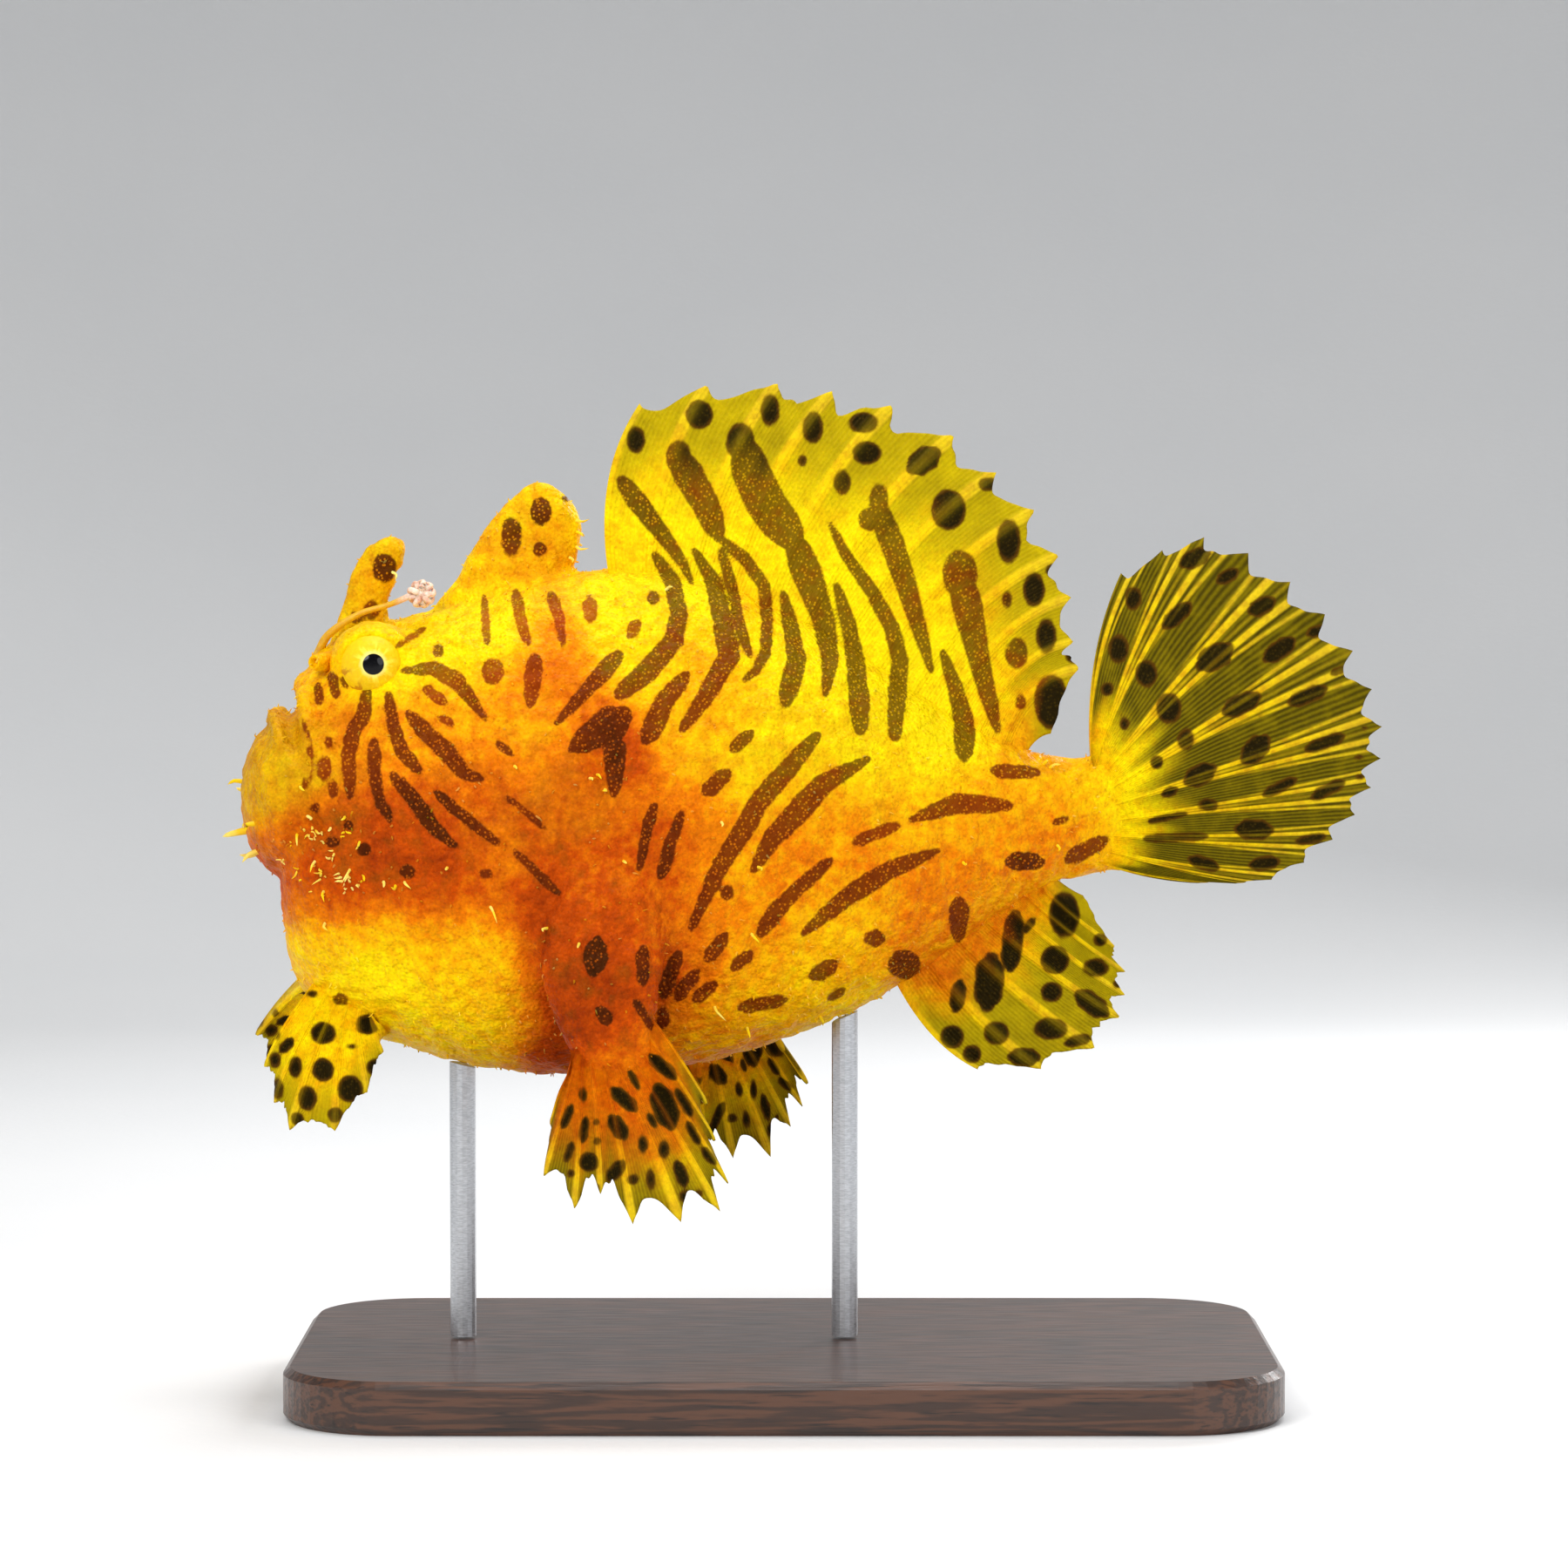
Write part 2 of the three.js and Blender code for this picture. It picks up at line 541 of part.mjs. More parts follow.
// Limb-like pectoral fins: a thick arm off each flank with a hand of ten rays.
const ARMS = {
  left: {
    arm: [
      { at: [-19.5, -9.5, 68.0], broad: 8.6, thick: 6.5 },
      { at: [-20.0, -15.5, 58.0], broad: 8.2, thick: 5.0 },
      { at: [-20.2, -19.6, 49.0], broad: 6.9, thick: 3.6 },
      { at: [-19.6, -21.2, 42.0], broad: 5.6, thick: 2.7 },
      { at: [-19.0, -21.8, 37.0], broad: 4.8, thick: 2.0 },
    ],
    root: [[-23.6, -21.0, 41.0], [-21.4, -21.3, 41.2], [-19.0, -20.7, 43.6], [-17.4, -19.6, 48.2]],
    tip: [
      [-25.8, -22.0, 33.2],
      [-26.6, -23.2, 27.7],
      [-23.2, -24.2, 24.2],
      [-20.3, -24.8, 25.9],
      [-16.7, -25.4, 22.6],
      [-11.4, -25.2, 22.8],
      [-7.1, -24.4, 23.9],
      [-6.2, -23.6, 26.9],
      [-7.7, -22.4, 31.5],
      [-8.6, -20.8, 35.4],
    ],
    bow: [0.4, -1.6, 0.6],
  },
  right: {
    arm: [
      { at: [-17.5, 9.5, 68.0], broad: 8.6, thick: 6.5 },
      { at: [-16.0, 15.5, 58.0], broad: 8.2, thick: 5.0 },
      { at: [-13.0, 19.4, 49.5], broad: 6.8, thick: 3.6 },
      { at: [-10.4, 20.8, 43.2], broad: 5.4, thick: 2.7 },
      { at: [-8.6, 21.4, 39.0], broad: 4.6, thick: 2.0 },
    ],
    root: [[-13.6, 20.6, 42.0], [-11.0, 20.9, 42.2], [-8.6, 20.4, 44.4], [-7.4, 19.4, 48.6]],
    tip: [
      [-14.5, 21.8, 34.5],
      [-15.2, 23.0, 29.4],
      [-13.0, 24.0, 26.0],
      [-9.6, 24.6, 24.4],
      [-6.1, 24.8, 23.8],
      [-1.6, 24.6, 24.0],
      [0.8, 24.0, 27.7],
      [2.2, 23.4, 30.2],
      [2.8, 22.6, 33.0],
      [0.0, 21.0, 37.0],
    ],
    bow: [0.4, 1.6, 0.6],
  },
};

function pectoral(side) {
  const { arm, root, tip, bow } = ARMS[side];
  const lobe = largest(limbSolid(arm, 18, 12).subtract(bodyGrown));
  const [rootLine, tipLine] = [lineThrough(root), lineThrough(tip)];
  const hand = finSolid({
    rays: 10, lastRay: 1, rows: 5, sag: 0.13, forked: false,
    root: rootLine, bend: straightBend(rootLine, tipLine, 0.5, bow), tip: tipLine,
    web: 0.6, ridge: 0.5, flesh: 1.1, fleshFade: 2.2,
  });
  const armGrown = limbSolid(arm, 18, 12, GAP);
  return { lobe, hand: largest(hand.subtract(armGrown).subtract(bodyGrown)) };
}
const leftArm = pectoral("left");
const rightArm = pectoral("right");

// Pelvic fins: short thick paws of six rays under the throat.
const PAWS = {
  left: {
    root: [[-53.0, -5.6, 47.6], [-49.6, -6.4, 45.4], [-45.6, -7.2, 44.6]],
    tip: [
      [-58.8, -9.6, 38.4],
      [-57.6, -11.2, 34.5],
      [-55.8, -12.2, 31.5],
      [-50.7, -12.2, 31.4],
      [-47.1, -11.6, 35.7],
      [-45.4, -10.6, 40.2],
    ],
    bow: [-0.8, -2.2, 0.6],
  },
  right: {
    root: [[-54.0, 5.6, 48.2], [-50.8, 6.4, 46.0], [-47.0, 7.2, 44.8]],
    tip: [
      [-61.6, 8.8, 40.2],
      [-60.6, 10.8, 36.8],
      [-58.6, 12.0, 34.2],
      [-53.8, 12.2, 33.6],
      [-50.2, 11.6, 37.2],
      [-47.8, 10.4, 41.0],
    ],
    bow: [-0.8, 2.2, 0.6],
  },
};

function pelvic(side) {
  const { root, tip, bow } = PAWS[side];
  const [rootLine, tipLine] = [lineThrough(root), lineThrough(tip)];
  const paw = finSolid({
    rays: 6, lastRay: 1, rows: 5, sag: 0.1, forked: false,
    root: rootLine, bend: straightBend(rootLine, tipLine, 0.5, bow), tip: tipLine,
    web: 0.7, ridge: 0.5, flesh: 2.6, fleshFade: 1.5,
  });
  return largest(paw.subtract(bodyGrown));
}

// Stand: a flat base with softened edges, and two rods whose tops follow the belly.
function baseSolid() {
  const [x, y, r] = [BASE.length / 2 - BASE.bevel, BASE.width / 2 - BASE.bevel, BASE.corner];
  const outline = new THREE.Shape();
  outline.moveTo(-x + r, -y);
  outline.lineTo(x - r, -y);
  outline.absarc(x - r, -y + r, r, -Math.PI / 2, 0);
  outline.lineTo(x, y - r);
  outline.absarc(x - r, y - r, r, 0, Math.PI / 2);
  outline.lineTo(-x + r, y);
  outline.absarc(-x + r, y - r, r, Math.PI / 2, Math.PI);
  outline.lineTo(-x, -y + r);
  outline.absarc(-x + r, -y + r, r, Math.PI, 1.5 * Math.PI);
  const plate = new THREE.ExtrudeGeometry(outline, {
    depth: BASE.height - 2 * BASE.bevel,
    bevelThickness: BASE.bevel,
    bevelSize: BASE.bevel,
    bevelSegments: 1,
    curveSegments: 6,
  });
  plate.translate(0, 0, BASE.bevel);
  return solidOf(plate);
}

function rodSolid(x) {
  const foot = BASE.height + GAP;
  const height = ROD.reach + 12 - foot;
  const shaft = new THREE.CylinderGeometry(ROD.radius, ROD.radius, height, 16);
  shaft.rotateX(Math.PI / 2);
  shaft.translate(x, 0, foot + height / 2);
  const lowest = (a, b) => (a.boundingBox().min[2] < b.boundingBox().min[2] ? a : b);
  return solidOf(shaft).subtract(bodyGrown).decompose().reduce(lowest);
}

// The model.

const model = new THREE.Group();

function addPiece(name, solid, color, roughness, metalness = 0) {
  const { vertProperties, triVerts, numProp, numVert } = solid.getMesh();
  const positions = new Float32Array(numVert * 3);
  for (let i = 0; i < numVert; i++)
    positions.set(vertProperties.subarray(i * numProp, i * numProp + 3), i * 3);
  const geometry = geometryOf(positions, Array.from(triVerts));
  geometry.computeVertexNormals();
  const mesh = new THREE.Mesh(geometry, new THREE.MeshStandardMaterial({ color, roughness, metalness }));
  mesh.name = name;
  model.add(mesh);
}

addPiece("head", head, SKIN.yellow, 0.5);
addPiece("lower_jaw", lowerJaw, SKIN.yellow, 0.5);
addPiece("torso", torso, SKIN.orange, 0.5);
addPiece("tail_stalk", tailStalk, SKIN.yellow, 0.5);
addPiece("eye_left", eyeBall(1), 0xe9e08a, 0.12);
addPiece("eye_right", eyeBall(-1), 0xe9e08a, 0.12);
addPiece("lure", lure, 0xe6b59a, 0.45);
addPiece("dorsal_spine_second", largest(secondSpine), SKIN.yellow, 0.5);
addPiece("dorsal_spine_third", largest(thirdSpine), SKIN.yellow, 0.5);
addPiece("dorsal_fin", dorsalFin, SKIN.web, 0.45);
addPiece("tail_fin", tailFin, SKIN.web, 0.45);
addPiece("anal_fin", analFin, SKIN.web, 0.45);
addPiece("pectoral_arm_left", leftArm.lobe, SKIN.orange, 0.5);
addPiece("pectoral_fin_left", leftArm.hand, SKIN.web, 0.45);
addPiece("pectoral_arm_right", rightArm.lobe, SKIN.orange, 0.5);
addPiece("pectoral_fin_right", rightArm.hand, SKIN.web, 0.45);
addPiece("pelvic_fin_left", pelvic("left"), SKIN.yellow, 0.5);
addPiece("pelvic_fin_right", pelvic("right"), SKIN.yellow, 0.5);
addPiece("stand_base", baseSolid(), 0x2b2622, 0.4);
addPiece("stand_rod_front", rodSolid(ROD.frontX), 0xb9bcc0, 0.3, 1);
addPiece("stand_rod_back", rodSolid(ROD.backX), 0xb9bcc0, 0.3, 1);

export default model;
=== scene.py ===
"""Looks of a life-size striated frogfish on its display stand.

The fish faces -X with its left side towards -Y, and +Z is up. Shapes are worked out in millimetres and
turned into metres when a mesh is made. The markings were measured in the photograph, so they are
given in its pixels and laid on both flanks by the camera's own projection.
"""

import math

import bpy
import numpy as np
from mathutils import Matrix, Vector
from mathutils.bvhtree import BVHTree


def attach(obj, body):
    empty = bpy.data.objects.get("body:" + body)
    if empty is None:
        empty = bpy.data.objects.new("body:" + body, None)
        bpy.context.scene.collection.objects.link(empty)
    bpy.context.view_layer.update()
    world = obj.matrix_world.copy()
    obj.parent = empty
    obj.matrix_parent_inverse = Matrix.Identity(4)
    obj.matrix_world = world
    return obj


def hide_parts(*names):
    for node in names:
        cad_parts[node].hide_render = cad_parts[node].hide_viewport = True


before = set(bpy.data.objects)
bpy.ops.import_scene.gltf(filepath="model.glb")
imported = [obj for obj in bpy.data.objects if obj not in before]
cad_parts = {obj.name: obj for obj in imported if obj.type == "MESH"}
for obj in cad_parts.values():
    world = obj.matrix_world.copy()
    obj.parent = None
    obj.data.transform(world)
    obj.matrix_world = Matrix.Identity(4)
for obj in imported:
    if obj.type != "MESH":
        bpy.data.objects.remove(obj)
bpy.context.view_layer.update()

MM = 0.001
SEED = 41
VOXEL = 0.42
SPREAD = 1.22  # how much wider a marking's soft edge makes it than its measured core

# Camera: where it looks, how far off and how high, and its lens. It also lays the markings.
TARGET = np.array([0.0, 0.0, 70.0])
DISTANCE = 620.0
ELEVATION = math.radians(3)
LENS = 124.0
SENSOR = 36.0
PICTURE = 1800
CAMERA = TARGET + DISTANCE * np.array([0, -math.cos(ELEVATION), math.sin(ELEVATION)])


# Lines, noise and projection.


def smooth_line(points):
    """Catmull-Rom line. With k the span that t falls in and w its place in the span,
    p = p1 + w(p2-p0)/2 + w^2(2p0-5p1+4p2-p3)/2 + w^3(3p1-3p2+p3-p0)/2; the end points are reflected."""
    p = np.asarray(points, float)
    spans = len(p) - 1
    p = np.vstack([2 * p[0] - p[1], p, 2 * p[-1] - p[-2]])

    def at(t):
        t = np.clip(np.asarray(t, float), 0, 1) * spans
        k = np.minimum(t.astype(int), spans - 1)
        w = (t - k)[..., None]
        p0, p1, p2, p3 = p[k], p[k + 1], p[k + 2], p[k + 3]
        linear = (p2 - p0) * w
        square = (2 * p0 - 5 * p1 + 4 * p2 - p3) * w**2
        cubic = (3 * p1 - 3 * p2 + p3 - p0) * w**3
        return p1 + 0.5 * (linear + square + cubic)

    return at


def smooth_step(value, low, high):
    """t^2 (3 - 2t) with t the value's place between low and high, held to 0 and 1."""
    t = np.clip((value - low) / (high - low), 0, 1)
    return t**2 * (3 - 2 * t)


def unit(vectors):
    """Vectors brought to length 1."""
    return vectors / np.maximum(np.linalg.norm(vectors, axis=-1, keepdims=True), 1e-9)


def turns(count):
    """Angles once round in equal steps."""
    return np.arange(count) / count * 2 * math.pi


def ripple(points, wavelength, seed, waves=9):
    """Soft noise from -1 to 1: the mean of sin(2 pi (d.p)/wavelength + phase) over random directions d,
    bent by a second, slower set so that it doesn't repeat."""
    rng = np.random.default_rng(seed)
    directions = unit(rng.normal(size=(waves, 3)))
    phases = rng.uniform(0, 2 * math.pi, waves)
    bend = np.sin(points @ directions.T * (2 * math.pi / (3.1 * wavelength)) + phases[::-1])
    angles = points @ directions[::-1].T * (2 * math.pi / wavelength) + phases + 1.7 * bend
    return np.clip(np.sin(angles).mean(1) * 2.4, -1, 1)


def near_side(points):
    """Points with the far flank folded onto the near one."""
    folded = points.copy()
    folded[:, 1] = -np.abs(points[:, 1])
    return folded


def to_photo(points):
    """Pixels of points in the photograph, the far flank folded onto the near one:
    px = 900 + F right/depth and py = 900 - F up/depth, with F = 1800 lens/sensor."""
    forward = (TARGET - CAMERA) / DISTANCE
    up = np.array([0, math.sin(ELEVATION), math.cos(ELEVATION)])
    away = near_side(points) - CAMERA
    scale = PICTURE * LENS / SENSOR / (away @ forward)
    return np.stack([PICTURE / 2 + away[:, 0] * scale, PICTURE / 2 - away @ up * scale], 1)


def stroke_depth(spots, line, widths):
    """How far pixels lie inside a stroke, in millimetres (0.1 mm a pixel): half the stroke's width at the
    nearest place of its line less the distance to it. Its ends are half as wide as the given widths."""
    line = np.asarray(line, float)
    lengths = np.concatenate([[0], np.cumsum(np.linalg.norm(np.diff(line, axis=0), axis=1))])
    depth = np.full(len(spots), -99.0)
    for a, b, start, end in zip(line, line[1:], lengths, lengths[1:]):
        along = b - a
        t = np.clip((spots - a) @ along / (along @ along), 0, 1)
        gap = np.linalg.norm(spots - a - t[:, None] * along, axis=1)
        place = (start + t * (end - start)) / lengths[-1]
        width = np.interp(place, np.linspace(0, 1, len(widths)), widths)
        width = width * (0.5 + 0.5 * np.sqrt(np.clip(5 * np.minimum(place, 1 - place), 0, 1)))
        depth = np.maximum(depth, SPREAD * width / 2 - gap)
    return 0.1 * depth


def spot_depth(spots, spot):
    """How far pixels lie inside a spot, in millimetres. An ellipse (x, y, rx, ry): (1 - r) times the
    smaller radius, with r the pixel's distance from the middle in radii. A long spot (x, y, x, y, width)
    is a short stroke."""
    if len(spot) == 5:
        return stroke_depth(spots, (spot[:2], spot[2:4]), (spot[4], spot[4]))
    x, y, rx, ry = spot
    r = np.hypot((spots[:, 0] - x) / rx, (spots[:, 1] - y) / ry)
    return 0.1 * (1 - r) * min(rx, ry)


# Markings, and the painted shade along the closed mouth, in the photograph's pixels: a stroke is its line and
# its widths from start to end.

STRIPES_AND_MOUTH_SHADE = {
    "face": [
        ([(463, 770), (497, 767), (525, 782), (558, 826)], (9, 17, 8)),
        ([(452, 744), (488, 721)], (5, 7)),
        ([(488, 790), (511, 807)], (11, 11)),
        ([(505, 823), (520, 832)], (8, 8)),
        ([(469, 819), (491, 843), (512, 862), (533, 888), (552, 894)], (15, 18, 12)),
        ([(446, 795), (451, 830), (461, 862), (480, 884)], (11, 15)),
        ([(421, 790), (418, 819), (405, 841), (400, 868), (402, 916)], (14, 15, 11)),
        ([(429, 851), (430, 889), (436, 921), (449, 943)], (15, 9)),
        ([(450, 889), (475, 918), (496, 948), (523, 972)], (13, 16, 10)),
        ([(501, 910), (528, 934), (552, 953), (574, 969)], (12, 9)),
        ([(590, 977), (614, 999), (641, 1026)], (9, 9)),
        ([(579, 913), (600, 929), (625, 951)], (6, 7)),
        ([(571, 853), (588, 866)], (8, 8)),
        ([(381, 774), (386, 800)], (10, 10)),
        ([(394, 779), (398, 790)], (8, 5)),
        ([(365, 787), (367, 808)], (9, 9)),
        # Painted shade, not a stripe: a thin dark line down the closed mouth's crease, over its pressed-in
        # groove.
        ([(347, 826), (356, 850), (360, 880), (354, 905)], (5, 4, 2)),
    ],
    "nape": [
        ([(556, 685), (559, 739)], (8, 8)),
        ([(592, 680), (598, 712), (606, 739)], (12, 10)),
        ([(633, 683), (642, 710), (646, 741)], (14, 7)),
        ([(677, 688), (678, 712)], (15, 13)),
        ([(732, 714), (722, 730)], (13, 11)),
        ([(614, 755), (609, 808)], (18, 14)),
    ],
    "back": [
        ([(710, 752), (681, 784), (639, 830)], (20, 8)),
        ([(714, 552), (734, 579), (761, 614), (783, 645), (794, 670)], (22, 16, 8)),
        ([(752, 637), (772, 668), (779, 704), (774, 735), (743, 770), (712, 797)], (14, 18, 24)),
        ([(658, 858), (715, 822)], (20, 38)),
        ([(706, 850), (705, 912)], (26, 12)),
        ([(779, 525), (810, 579), (825, 616)], (32, 22)),
        ([(828, 619), (855, 641), (877, 672), (881, 712), (879, 748), (868, 770), (855, 780)], (13, 11)),
        ([(828, 632), (841, 677), (850, 721), (861, 753)], (12, 10)),
        ([(797, 632), (819, 668), (830, 712), (837, 753), (814, 793), (783, 838)], (12, 22, 14)),
        ([(788, 775), (765, 802), (742, 850)], (16, 22)),
        ([(852, 507), (863, 543), (880, 580), (913, 623)], (34, 38, 36)),
        ([(913, 623), (930, 668), (946, 712), (953, 757), (948, 797)], (34, 22, 12)),
        ([(899, 681), (908, 721), (915, 757), (902, 806)], (12, 22)),
        ([(953, 601), (971, 637), (1002, 681), (1024, 721), (1033, 757), (1027, 846)], (10, 20)),
        ([(960, 672), (973, 712), (982, 757), (986, 802), (988, 838)], (12, 22)),
        ([(1006, 579), (1024, 623), (1042, 677), (1055, 721), (1069, 770)], (26, 20, 10)),
        ([(1082, 748), (1096, 788), (1107, 829), (1107, 868)], (10, 24)),
        ([(1102, 659), (1114, 712), (1127, 770), (1145, 838)], (34, 22, 12)),
        ([(1141, 885), (1191, 887)], (16, 12)),
    ],
    "flank": [
        ([(841, 860), (862, 841)], (13, 13)),
        ([(810, 910), (835, 887)], (16, 16)),
        ([(937, 845), (904, 883), (870, 922), (854, 952), (827, 994), (793, 1067)], (18, 20, 12)),
        ([(996, 872), (946, 899), (915, 933), (885, 964), (866, 998)], (12, 24, 14)),
        ([(751, 925), (743, 952), (734, 998)], (13, 8)),
        ([(783, 933), (770, 967), (759, 1006)], (11, 14)),
        ([(1159, 925), (1099, 922), (1046, 941)], (14, 20, 10)),
        ([(1030, 948), (981, 967)], (12, 12)),
        ([(954, 987), (915, 1021), (889, 1048), (873, 1071)], (12, 18)),
        ([(1076, 977), (1023, 998), (973, 1029), (923, 1071)], (12, 20, 12)),
        ([(833, 1074), (812, 1101)], (14, 14)),
        ([(862, 1094), (841, 1111)], (12, 12)),
        ([(952, 1147), (968, 1136)], (9, 9)),
        ([(1101, 1035), (1100, 1078)], (22, 14)),
        ([(1159, 989), (1197, 989)], (20, 14)),
        ([(1226, 986), (1269, 964)], (17, 15)),
        ([(933, 1121), (958, 1107)], (16, 16)),
        ([(851, 1157), (901, 1147)], (14, 12)),
        ([(1210, 945), (1226, 939)], (8, 6)),
    ],
    "arm": [
        ([(738, 1089), (738, 1130)], (14, 12)),
        ([(779, 1094), (770, 1117), (761, 1144)], (14, 14)),
        ([(800, 1117), (788, 1130), (777, 1147)], (15, 13)),
        ([(820, 1130), (797, 1147)], (13, 13)),
        ([(761, 1158), (762, 1178)], (13, 12)),
        ([(686, 1078), (684, 1098), (681, 1116)], (16, 24, 20)),
        ([(688, 1158), (699, 1174)], (14, 13)),
        ([(729, 1149), (749, 1181)], (9, 8)),
    ],
}

SPOTS = {
    "face": [(503, 747, 7, 8), (468, 1001, 9, 9), (418, 975, 9, 8), (382, 967, 8, 7), (362, 927, 6, 6),
             (400, 948, 6, 6), (558, 1003, 8, 6), (566, 771, 13, 15), (750, 686, 7, 9), (372, 882, 8, 15),
             (383, 906, 6, 11), (377, 852, 5, 7), (356, 862, 4, 6), (350, 900, 5, 8), (443, 930, 6, 9)],
    "flank": [(835, 1025, 8, 9), (1004, 1077, 12, 10), (1038, 1107, 19, 17)],
    "spines": [(441, 652, 14, 17), (427, 700, 10, 11), (410, 709, 9, 7), (621, 587, 13, 16),
               (587, 616, 12, 24), (620, 630, 8, 9), (649, 572, 5, 4)],
}

DORSAL_SPOTS = [
    (730, 505, 11, 16), (803, 476, 16, 17), (779, 525, 15, 20), (850, 507, 17, 22), (884, 471, 11, 19),
    (933, 491, 12, 19), (921, 529, 6, 7), (991, 485, 18, 12), (995, 520, 17, 14), (967, 554, 10, 15),
    (1009, 572, 11, 17), (1000, 596, 15, 14), (1047, 538, 1073, 520, 24), (1134, 556, 11, 8),
    (1089, 585, 20, 24), (1158, 621, 14, 26), (1207, 654, 7, 7), (1102, 659, 20, 28),
    (1156, 688, 6, 10), (1187, 677, 13, 20), (1201, 730, 12, 20), (1167, 750, 13, 18),
    (1230, 753, 7, 9), (1172, 806, 6, 9), (1207, 806, 20, 32),
]

TAIL_SPOTS = [
    (1299, 653, 7, 7), (1358, 647, 1385, 635, 18), (1399, 667, 1419, 656, 13), (1301, 687, 10, 14),
    (1338, 718, 1364, 695, 16), (1437, 702, 1460, 690, 17), (1503, 728, 1520, 722, 12),
    (1284, 745, 12, 17), (1316, 773, 13, 16), (1379, 764, 1410, 745, 24), (1454, 756, 1483, 736, 18),
    (1271, 791, 8, 8), (1342, 813, 15, 18), (1408, 817, 1442, 800, 20), (1482, 807, 1520, 791, 15),
    (1529, 773, 1544, 767, 8), (1291, 831, 6, 8), (1361, 849, 10, 13), (1430, 872, 1452, 849, 22),
    (1501, 860, 1541, 845, 13), (1566, 836, 4, 4), (1328, 875, 8, 8), (1364, 897, 1391, 882, 20),
    (1452, 912, 1486, 895, 11), (1508, 915, 1541, 898, 12), (1560, 869, 5, 4), (1561, 892, 5, 4),
    (1336, 912, 1350, 906, 10), (1387, 924, 12, 8), (1319, 943, 1361, 934, 7), (1422, 952, 1457, 953, 20),
    (1315, 963, 1385, 960, 9), (1489, 966, 1520, 960, 10), (1367, 986, 1397, 996, 13),
    (1437, 993, 1466, 989, 14),
]

ANAL_SPOTS = [
    (1222, 1050, 18, 27), (1211, 1102, 17, 17), (1258, 1111, 15, 11), (1207, 1139, 13, 12),
    (1239, 1142, 1268, 1163, 20), (1166, 1050, 1159, 1111, 20), (1138, 1101, 1133, 1154, 28),
    (1187, 1055, 1175, 1070, 8), (1102, 1128, 1097, 1159, 15), (1093, 1190, 14, 14),
    (1116, 1210, 11, 11), (1144, 1186, 15, 14), (1161, 1213, 1190, 1214, 18), (1206, 1181, 20, 13),
    (1224, 1198, 1251, 1191, 11), (1263, 1079, 8, 8), (1282, 1130, 5, 5),
]

HAND_SPOTS = [
    (704, 1251, 729, 1273, 14), (702, 1283, 717, 1305, 16), (672, 1284, 669, 1310, 9), (685, 1288, 4, 4),
    (686, 1310, 5, 5), (656, 1270, 646, 1294, 9), (657, 1312, 650, 1332, 8), (676, 1334, 12, 12),
    (669, 1257, 5, 8), (738, 1314, 6, 11), (762, 1320, 7, 11), (756, 1250, 770, 1291, 24),
    (745, 1280, 752, 1293, 8), (747, 1213, 774, 1236, 13), (722, 1229, 733, 1250, 7),
    (777, 1252, 793, 1280, 10), (790, 1289, 802, 1312, 9), (807, 1319, 820, 1335, 10),
    (715, 1335, 699, 1353, 14), (727, 1354, 8, 6), (747, 1354, 6, 13), (777, 1335, 786, 1360, 13),
    (681, 1365, 8, 8), (781, 1372, 797, 1378, 12), (802, 1370, 5, 5), (655, 1347, 5, 5),
]

PAW_SPOTS = [
    (391, 1147, 9, 7), (358, 1141, 7, 4), (371, 1186, 15, 13), (422, 1176, 14, 12),
    (323, 1206, 335, 1194, 11), (316, 1217, 7, 10), (339, 1225, 8, 13), (371, 1228, 13, 14),
    (404, 1201, 6, 3), (319, 1250, 7, 13), (353, 1261, 11, 15), (402, 1250, 15, 16),
    (430, 1225, 10, 10), (385, 1280, 9, 9), (341, 1284, 8, 8), (317, 1188, 5, 6),
]

# How warm (0 bright yellow, 0.5 orange, 1 deep red-orange) and how olive the skin is round a pixel.
TINTS = [
    (430, 680, 45, 0.28, 0.40), (428, 763, 38, 0.02, 0.00), (360, 760, 40, 0.20, 0.05),
    (350, 870, 45, 0.30, 0.60), (376, 945, 34, 0.78, 0.25), (400, 840, 35, 0.55, 0.10),
    (480, 850, 45, 0.50, 0.10), (560, 800, 50, 0.35, 0.00), (520, 700, 60, 0.05, 0.00),
    (640, 780, 45, 0.62, 0.00), (620, 840, 40, 0.55, 0.14), (650, 910, 45, 0.62, 0.24),
    (700, 860, 35, 0.80, 0.00), (480, 990, 70, 0.86, 0.00), (560, 940, 45, 0.66, 0.15),
    (380, 1010, 45, 0.72, 0.10), (460, 1110, 70, 0.12, 0.00), (550, 1140, 60, 0.18, 0.00),
    (370, 1130, 50, 0.16, 0.05), (660, 1060, 55, 0.88, 0.00), (670, 1150, 60, 0.92, 0.00),
    (740, 1010, 55, 0.72, 0.00), (760, 1110, 50, 0.75, 0.05), (700, 1230, 50, 0.66, 0.05),
    (600, 630, 45, 0.32, 0.26), (760, 640, 80, 0.06, 0.10), (900, 700, 90, 0.04, 0.08),
    (740, 740, 50, 0.12, 0.00), (800, 820, 50, 0.30, 0.05), (870, 880, 55, 0.22, 0.30),
    (980, 860, 70, 0.08, 0.30), (1060, 850, 60, 0.02, 0.15), (800, 960, 50, 0.55, 0.00),
    (880, 1000, 60, 0.45, 0.00), (960, 960, 60, 0.38, 0.05), (1060, 960, 60, 0.42, 0.00),
    (1150, 950, 55, 0.42, 0.00), (1220, 880, 50, 0.34, 0.24), (1230, 950, 40, 0.40, 0.00),
    (1230, 1000, 30, 0.38, 0.00), (880, 1100, 60, 0.34, 0.00), (960, 1060, 60, 0.26, 0.00),
    (1050, 1050, 50, 0.50, 0.00), (820, 1180, 50, 0.42, 0.00), (950, 1150, 50, 0.14, 0.05),
    (1290, 900, 60, 0.06, 0.00), (870, 700, 26, 0.42, 0.05),
]

